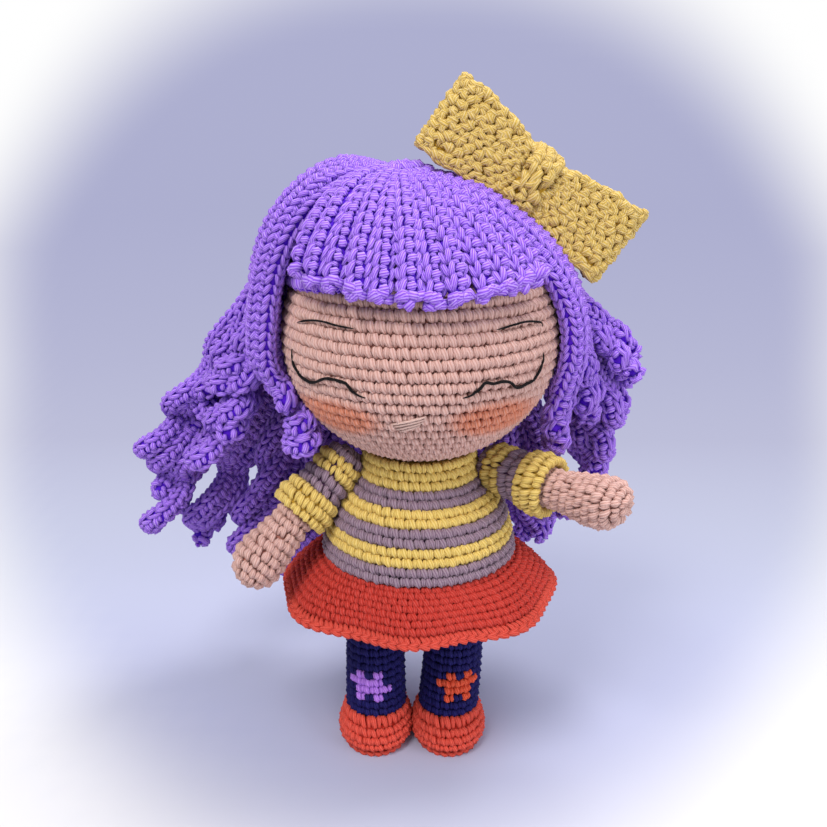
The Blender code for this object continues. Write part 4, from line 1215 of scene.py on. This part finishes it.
def bow_grid(work, surface):
    """Stitches in rows along the loop: each row lies at one height."""
    columns = round(surface.length / BOW_STITCH)
    wide, high = surface.length / columns, 2 / BOW_ROWS
    for row in range(BOW_ROWS):
        v = (np.arange(columns) + 0.5 + 0.5 * (row % 2)) * wide
        v = np.clip(v, BOW_EDGE, surface.length - BOW_EDGE)
        u = np.full(columns, -1 + 2 * (row + 0.5) / BOW_ROWS)
        stitch_row(work, surface, u, v, high, wide, "bow", BOW_YARN, COARSE_SHARES, BOW_LOOSE)


def make_bow():
    for side, sign in (("left", 1), ("right", -1)):
        work = Work(f"bow_{side}_work", 13)
        outside, inside = BowLoop(sign), BowLoop(sign, BOW_LAYER)
        order = np.linspace(-0.97, 0.97, 10)[::sign]
        # Both layers of plain cloth are in painted shade, under the bow's stitches.
        for layer, across, lift in ((outside, order, -BOW_SINK), (inside, order[::-1], BOW_SINK)):
            work.cloth(layer, across, np.linspace(0, layer.length, 40), "base_bow", lift, wrap=False)
        bow_grid(work, outside)
        # A braid closes the top and the bottom edge between the two layers.
        steps = round(outside.length / BRAID_STITCH)
        middle = ((np.arange(steps) + 0.5) / steps * outside.length)[:, None]
        share = np.linspace(-BRAID_REACH, BRAID_REACH, len(LEG_GIRTH_SHARES))
        v = np.clip(middle + share * BRAID_STITCH, 0, outside.length)
        for edge in (-1, 1):
            for shift in BRAID_ROWS:
                line, out = outside(np.full(v.shape, edge * 0.99), v)
                line = line + out * (shift + BRAID_TILT * share)[:, None]
                work.tubes(line, out, BRAID_YARN * LEG_GIRTH_SHARES, "bow")
        work.finish("head", [f"bow_{side}_loop"])
    make_bow_band()


class Band:
    """The band round the bow's pinch: u goes round it, v across it."""

    def __init__(self):
        self.length = BAND_HALF_WIDE
        self.turn = np.array(bow_matrix())

    def place(self, u, v):
        bulge = BAND_BULGE * (1 - (v / BAND_HALF_WIDE) ** 2)
        up = np.sign(np.cos(u)) * np.abs(np.cos(u)) ** BAND_POWER
        deep = np.sign(np.sin(u)) * np.abs(np.sin(u)) ** BAND_POWER
        return np.stack([v, deep * (BAND_DEEP + bulge), up * (BAND_HIGH + bulge)], -1)

    def __call__(self, u, v):
        return turned_by(self.turn, self.place(u, v), -facing(self.place, u, v, 0.02, 0.0003))


def make_bow_band():
    work = Work("bow_band_work", 14)
    surface = Band()
    work.plain(surface, "band", "bow", -BAND_HALF_WIDE)
    u, step = circle(BAND_STITCHES), 2 * math.pi / BAND_STITCHES
    yarn = CLOTHS["band"][2]
    for column in range(BAND_COLUMNS):
        v = BAND_HALF_WIDE * (2 * (column + 0.5) / BAND_COLUMNS - 1)
        around = u + 0.2 * column
        stitch_row(work, surface, around, v, step, BAND_COLUMN, "bow", yarn, COARSE_SHARES, BAND_LOOSE)
    work.finish("head", ["bow_band"])


# Inner pieces

# Their materials: a dark and a light colour, the scale and detail of the change between them, the roughness
INNER_MATERIALS = {
    "loose_fibre": ((0.72, 0.71, 0.68, 1), (0.92, 0.91, 0.89, 1), 420.0, 6.0, 0.95),
    "dowel_wood": ((0.45, 0.27, 0.12, 1), (0.72, 0.52, 0.30, 1), 1.0, 4.0, 0.6),
    "insole_plastic": ((0.70, 0.70, 0.68, 1), (0.80, 0.80, 0.78, 1), 700.0, 3.0, 0.45),
}
WOOD_GRAIN = (900, 900, 40)
FIBRE_BUMP = (1.0, 0.001)
FIBRE_SHEEN = 0.4


def inner_material(name, stretch=None):
    """The material, its tree, its shader and the noise that its colour follows."""
    dark, light, scale, detail, roughness = INNER_MATERIALS[name]
    made, tree, shader = new_material(name, roughness)
    place = tree.nodes.new("ShaderNodeTexCoord").outputs["Object"]
    if stretch:
        place = add_node(tree, "ShaderNodeMapping", Vector=place, Scale=stretch).outputs[0]
    change = noise(tree, place, scale, detail)
    tree.links.new(mix_colour(tree, change, dark, light), shader.inputs["Base Color"])
    return made, tree, shader, change


def make_filling():
    """Loose fibre: each filling's own shape, with lumps."""
    made, tree, shader, change = inner_material("loose_fibre")
    bump(tree, shader, change, *FIBRE_BUMP)
    shader.inputs["Sheen Weight"].default_value = FIBRE_SHEEN
    for node, solid in sorted(frame["nodes"].items()):
        if not node.endswith("filling"):
            continue
        data = solid.data.copy()
        data.materials.clear()
        data.materials.append(made)
        wad = add_object(node + "_wad", data)
        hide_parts(node)
        body = [name for name, nodes in frame["record"]["behaviour"]["bodies"].items() if node in nodes][0]
        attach(wad, body)


def finish_hidden_parts():
    """Wood for the dowel and plastic for the insoles."""
    wood = inner_material("dowel_wood", WOOD_GRAIN)[0]
    plastic = inner_material("insole_plastic")[0]
    for node, made in (("neck_dowel", wood), ("right_insole", plastic), ("left_insole", plastic)):
        data = frame["nodes"][node].data
        data.materials.clear()
        data.materials.append(made)


# Stage, lamps and camera

# How brightly the lamps and the sky light the floor
FLOOR_LIGHT = 1.37
# How far behind the doll the paper has each tone, with painted light that makes it lighter and darker in
# bands, and how far the lilac reaches to each side there
PAPER_TONE_PLACES = (0.0, 0.09, 0.30, 0.70)
PAINTED_PAPER_TONES = ((0.59, 0.62, 0.82), (0.65, 0.68, 0.87), (0.51, 0.52, 0.70), (0.42, 0.43, 0.63))
PAPER_REACH_PLACES = (-0.05, 0.30, 0.65, 0.93)
PAPER_REACHES = (0.125, 0.265, 0.40, 0.42)
# Where the paper starts to fade to white as painted light, towards the front and towards the top
PAPER_FRONT_FADE = (0.30, 0.35, 3.0)
PAPER_TOP_FADE = (0.50, 0.45, 2.4)
PAPER_FADE_POWER = 2.2
PAPER_FADE_START = 0.88
PAPER_FADE_REACH = 0.36
SHADOW_NEAR = 0.10
SHADOW_FAR = 0.26
PAPER_FRONT = -0.9
PAPER_BEND_START = 0.42
PAPER_BEND = 0.35
PAPER_TOP = 1.6
PAPER_HALF_WIDTH = 1.5
# The paper lies a hair below the soles. It has small facets near the doll, and large ones beside them.
PAPER_SINK = 0.0002
PAPER_NEAR = 0.5
PAPER_MIDDLE = 1.0
SKY_COLOUR = (0.86, 0.88, 1.0, 1)
SKY_LIGHT = 0.62
LAMP_TARGET = (AXIS_X, AXIS_Y, 0.11)
# Each lamp: its place, its size, its power and its colour
LAMPS = {
    "key_lamp": ((-0.25, -0.45, 0.75), 0.35, 5.2, (1.0, 0.97, 0.95)),
    "top_lamp": ((0.25, 0.10, 0.80), 0.40, 3.3, (1.0, 0.98, 1.0)),
    "fill_lamp": ((0.70, -0.50, 0.30), 0.50, 2.8, (0.95, 0.95, 1.0)),
}


def soft_step(share):
    share = np.clip(share, 0, 1)
    return share * share * (3 - 2 * share)


def painted_paper_light(across, behind):
    """The paper's tone by its place, with painted light: lilac round the doll, lighter and darker in bands,
    which fades to white at the corners.
    """
    tones = np.stack([np.interp(behind, PAPER_TONE_PLACES, tone) for tone in zip(*PAINTED_PAPER_TONES)], -1)
    reach = np.interp(behind, PAPER_REACH_PLACES, PAPER_REACHES)
    start, length, power = PAPER_FRONT_FADE
    faded = np.clip((start - behind) / length, 0, 1) ** power
    start, length, power = PAPER_TOP_FADE
    faded = faded + np.clip((behind - start) / length, 0, 1) ** power
    away = (np.abs(across / reach) ** PAPER_FADE_POWER + faded) ** (1 / PAPER_FADE_POWER)
    white = soft_step((away - PAPER_FADE_START) / PAPER_FADE_REACH)[:, None]
    return tones * (1 - white) + white


def make_stage():
    """One sheet of paper, which lies under the doll and runs up behind it in a wide bend."""
    # Places along the sheet: how far back each lies, how high, and how far along the sheet
    profile = [(y, 0.0, y) for y in np.linspace(PAPER_FRONT, PAPER_BEND_START, 110)[:-1]]
    for turn in np.linspace(0, math.pi / 2, 40):
        back, corner = PAPER_BEND_START + PAPER_BEND * math.sin(turn), PAPER_BEND_START + PAPER_BEND * turn
        profile.append((back, PAPER_BEND * (1 - math.cos(turn)), corner))
    profile += [(back, z, corner + z - PAPER_BEND) for z in np.linspace(PAPER_BEND, PAPER_TOP, 30)[1:]]
    near = np.linspace(-PAPER_NEAR, PAPER_NEAR, 90)
    across = np.concatenate([[-PAPER_HALF_WIDTH, -PAPER_MIDDLE], near, [PAPER_MIDDLE, PAPER_HALF_WIDTH]])
    points = np.array([(x + AXIS_X, y, z - PAPER_SINK) for y, z, along in profile for x in across])
    behind = np.repeat([along - AXIS_Y for y, z, along in profile], len(across))
    index = np.arange(len(points)).reshape(len(profile), len(across))
    faces = np.stack([index[:-1, :-1], index[:-1, 1:], index[1:, 1:], index[1:, :-1]], -1).reshape(-1, 4)
    data = bpy.data.meshes.new("paper")
    data.from_pydata(points.tolist(), [], faces.tolist())
    data.shade_smooth()
    far = np.hypot(points[:, 0] - AXIS_X, behind)
    lit = soft_step((far - SHADOW_NEAR) / (SHADOW_FAR - SHADOW_NEAR))
    # Each point's tone, its painted light included, and in its alpha how far it lies beyond the doll's shadow.
    values = np.concatenate([painted_paper_light(points[:, 0] - AXIS_X, behind), lit[:, None]], 1)
    tones = data.color_attributes.new("tone", "FLOAT_COLOR", "POINT")
    tones.data.foreach_set("color", values.astype(np.float32).ravel())
    paper = add_object("paper", data)
    made, tree, shader = new_material("paper", 0.9)
    tone = tree.nodes.new("ShaderNodeVertexColor")
    tone.layer_name = "tone"
    dimmer = (1 / FLOOR_LIGHT, 1 / FLOOR_LIGHT, 1 / FLOOR_LIGHT, 1)
    tree.links.new(mix_colour(tree, 1.0, tone.outputs[0], dimmer, "MULTIPLY"), shader.inputs["Base Color"])
    shader.inputs["Specular IOR Level"].default_value = 0.1
    # Further from the doll than its shadow falls, the paper is seen evenly lit: it glows with its tone,
    # painted light included.
    glow = add_node(tree, "ShaderNodeEmission", Color=tone.outputs[0])
    path = tree.nodes.new("ShaderNodeLightPath")
    seen = math_node(tree, "MAXIMUM", path.outputs["Is Camera Ray"], path.outputs["Is Glossy Ray"])
    seen = math_node(tree, "MAXIMUM", seen, path.outputs["Is Transmission Ray"])
    both = tree.nodes.new("ShaderNodeMixShader")
    sources = (math_node(tree, "MULTIPLY", seen, tone.outputs[1]), shader.outputs[0], glow.outputs[0])
    for socket, value in zip(both.inputs, sources):
        feed(tree, socket, value)
    output = [node for node in tree.nodes if node.type == "OUTPUT_MATERIAL"][0]
    tree.links.new(both.outputs[0], output.inputs[0])
    data.materials.append(made)


def make_world():
    world = bpy.data.worlds.new("studio")
    bpy.context.scene.world = world
    world.use_nodes = True
    sky = world.node_tree.nodes["Background"]
    sky.inputs[0].default_value = SKY_COLOUR
    sky.inputs[1].default_value = SKY_LIGHT


def make_lamps():
    for name, (place, size, power, colour) in LAMPS.items():
        data = bpy.data.lights.new(name, "AREA")
        data.shape = "DISK"
        data.size = size
        data.energy = power
        data.color = colour
        lamp = add_object(name, data)
        lamp.location = place
        lamp.rotation_mode = "QUATERNION"
        lamp.rotation_quaternion = (Vector(LAMP_TARGET) - Vector(place)).to_track_quat("-Z", "Y")


def make_camera():
    data = bpy.data.cameras.new("camera")
    data.sensor_width = SENSOR_MM
    data.lens = FOCAL_PX / PHOTO_WIDTH_PX * SENSOR_MM
    data.clip_start = 0.01
    data.clip_end = 20
    camera = add_object("camera", data)
    pitch, roll = math.radians(CAMERA_PITCH_DEG), math.radians(CAMERA_ROLL_DEG)
    look = Matrix.Translation(CAMERA_PLACE) @ Matrix.Rotation(math.pi / 2 - pitch, 4, "X")
    camera.matrix_world = look @ Matrix.Rotation(roll, 4, "Z")
    bpy.context.scene.camera = camera


make_camera()
make_head()
make_face()
make_wig_cap()
make_fringe()
make_long_hair()
make_sweater()
make_skirt()
for side in ("right", "left"):
    make_leg(side)
    make_arm(side)
make_bow()
make_filling()
finish_hidden_parts()
make_stage()
make_world()
make_lamps()
bpy.context.scene.view_settings.view_transform = "Standard"
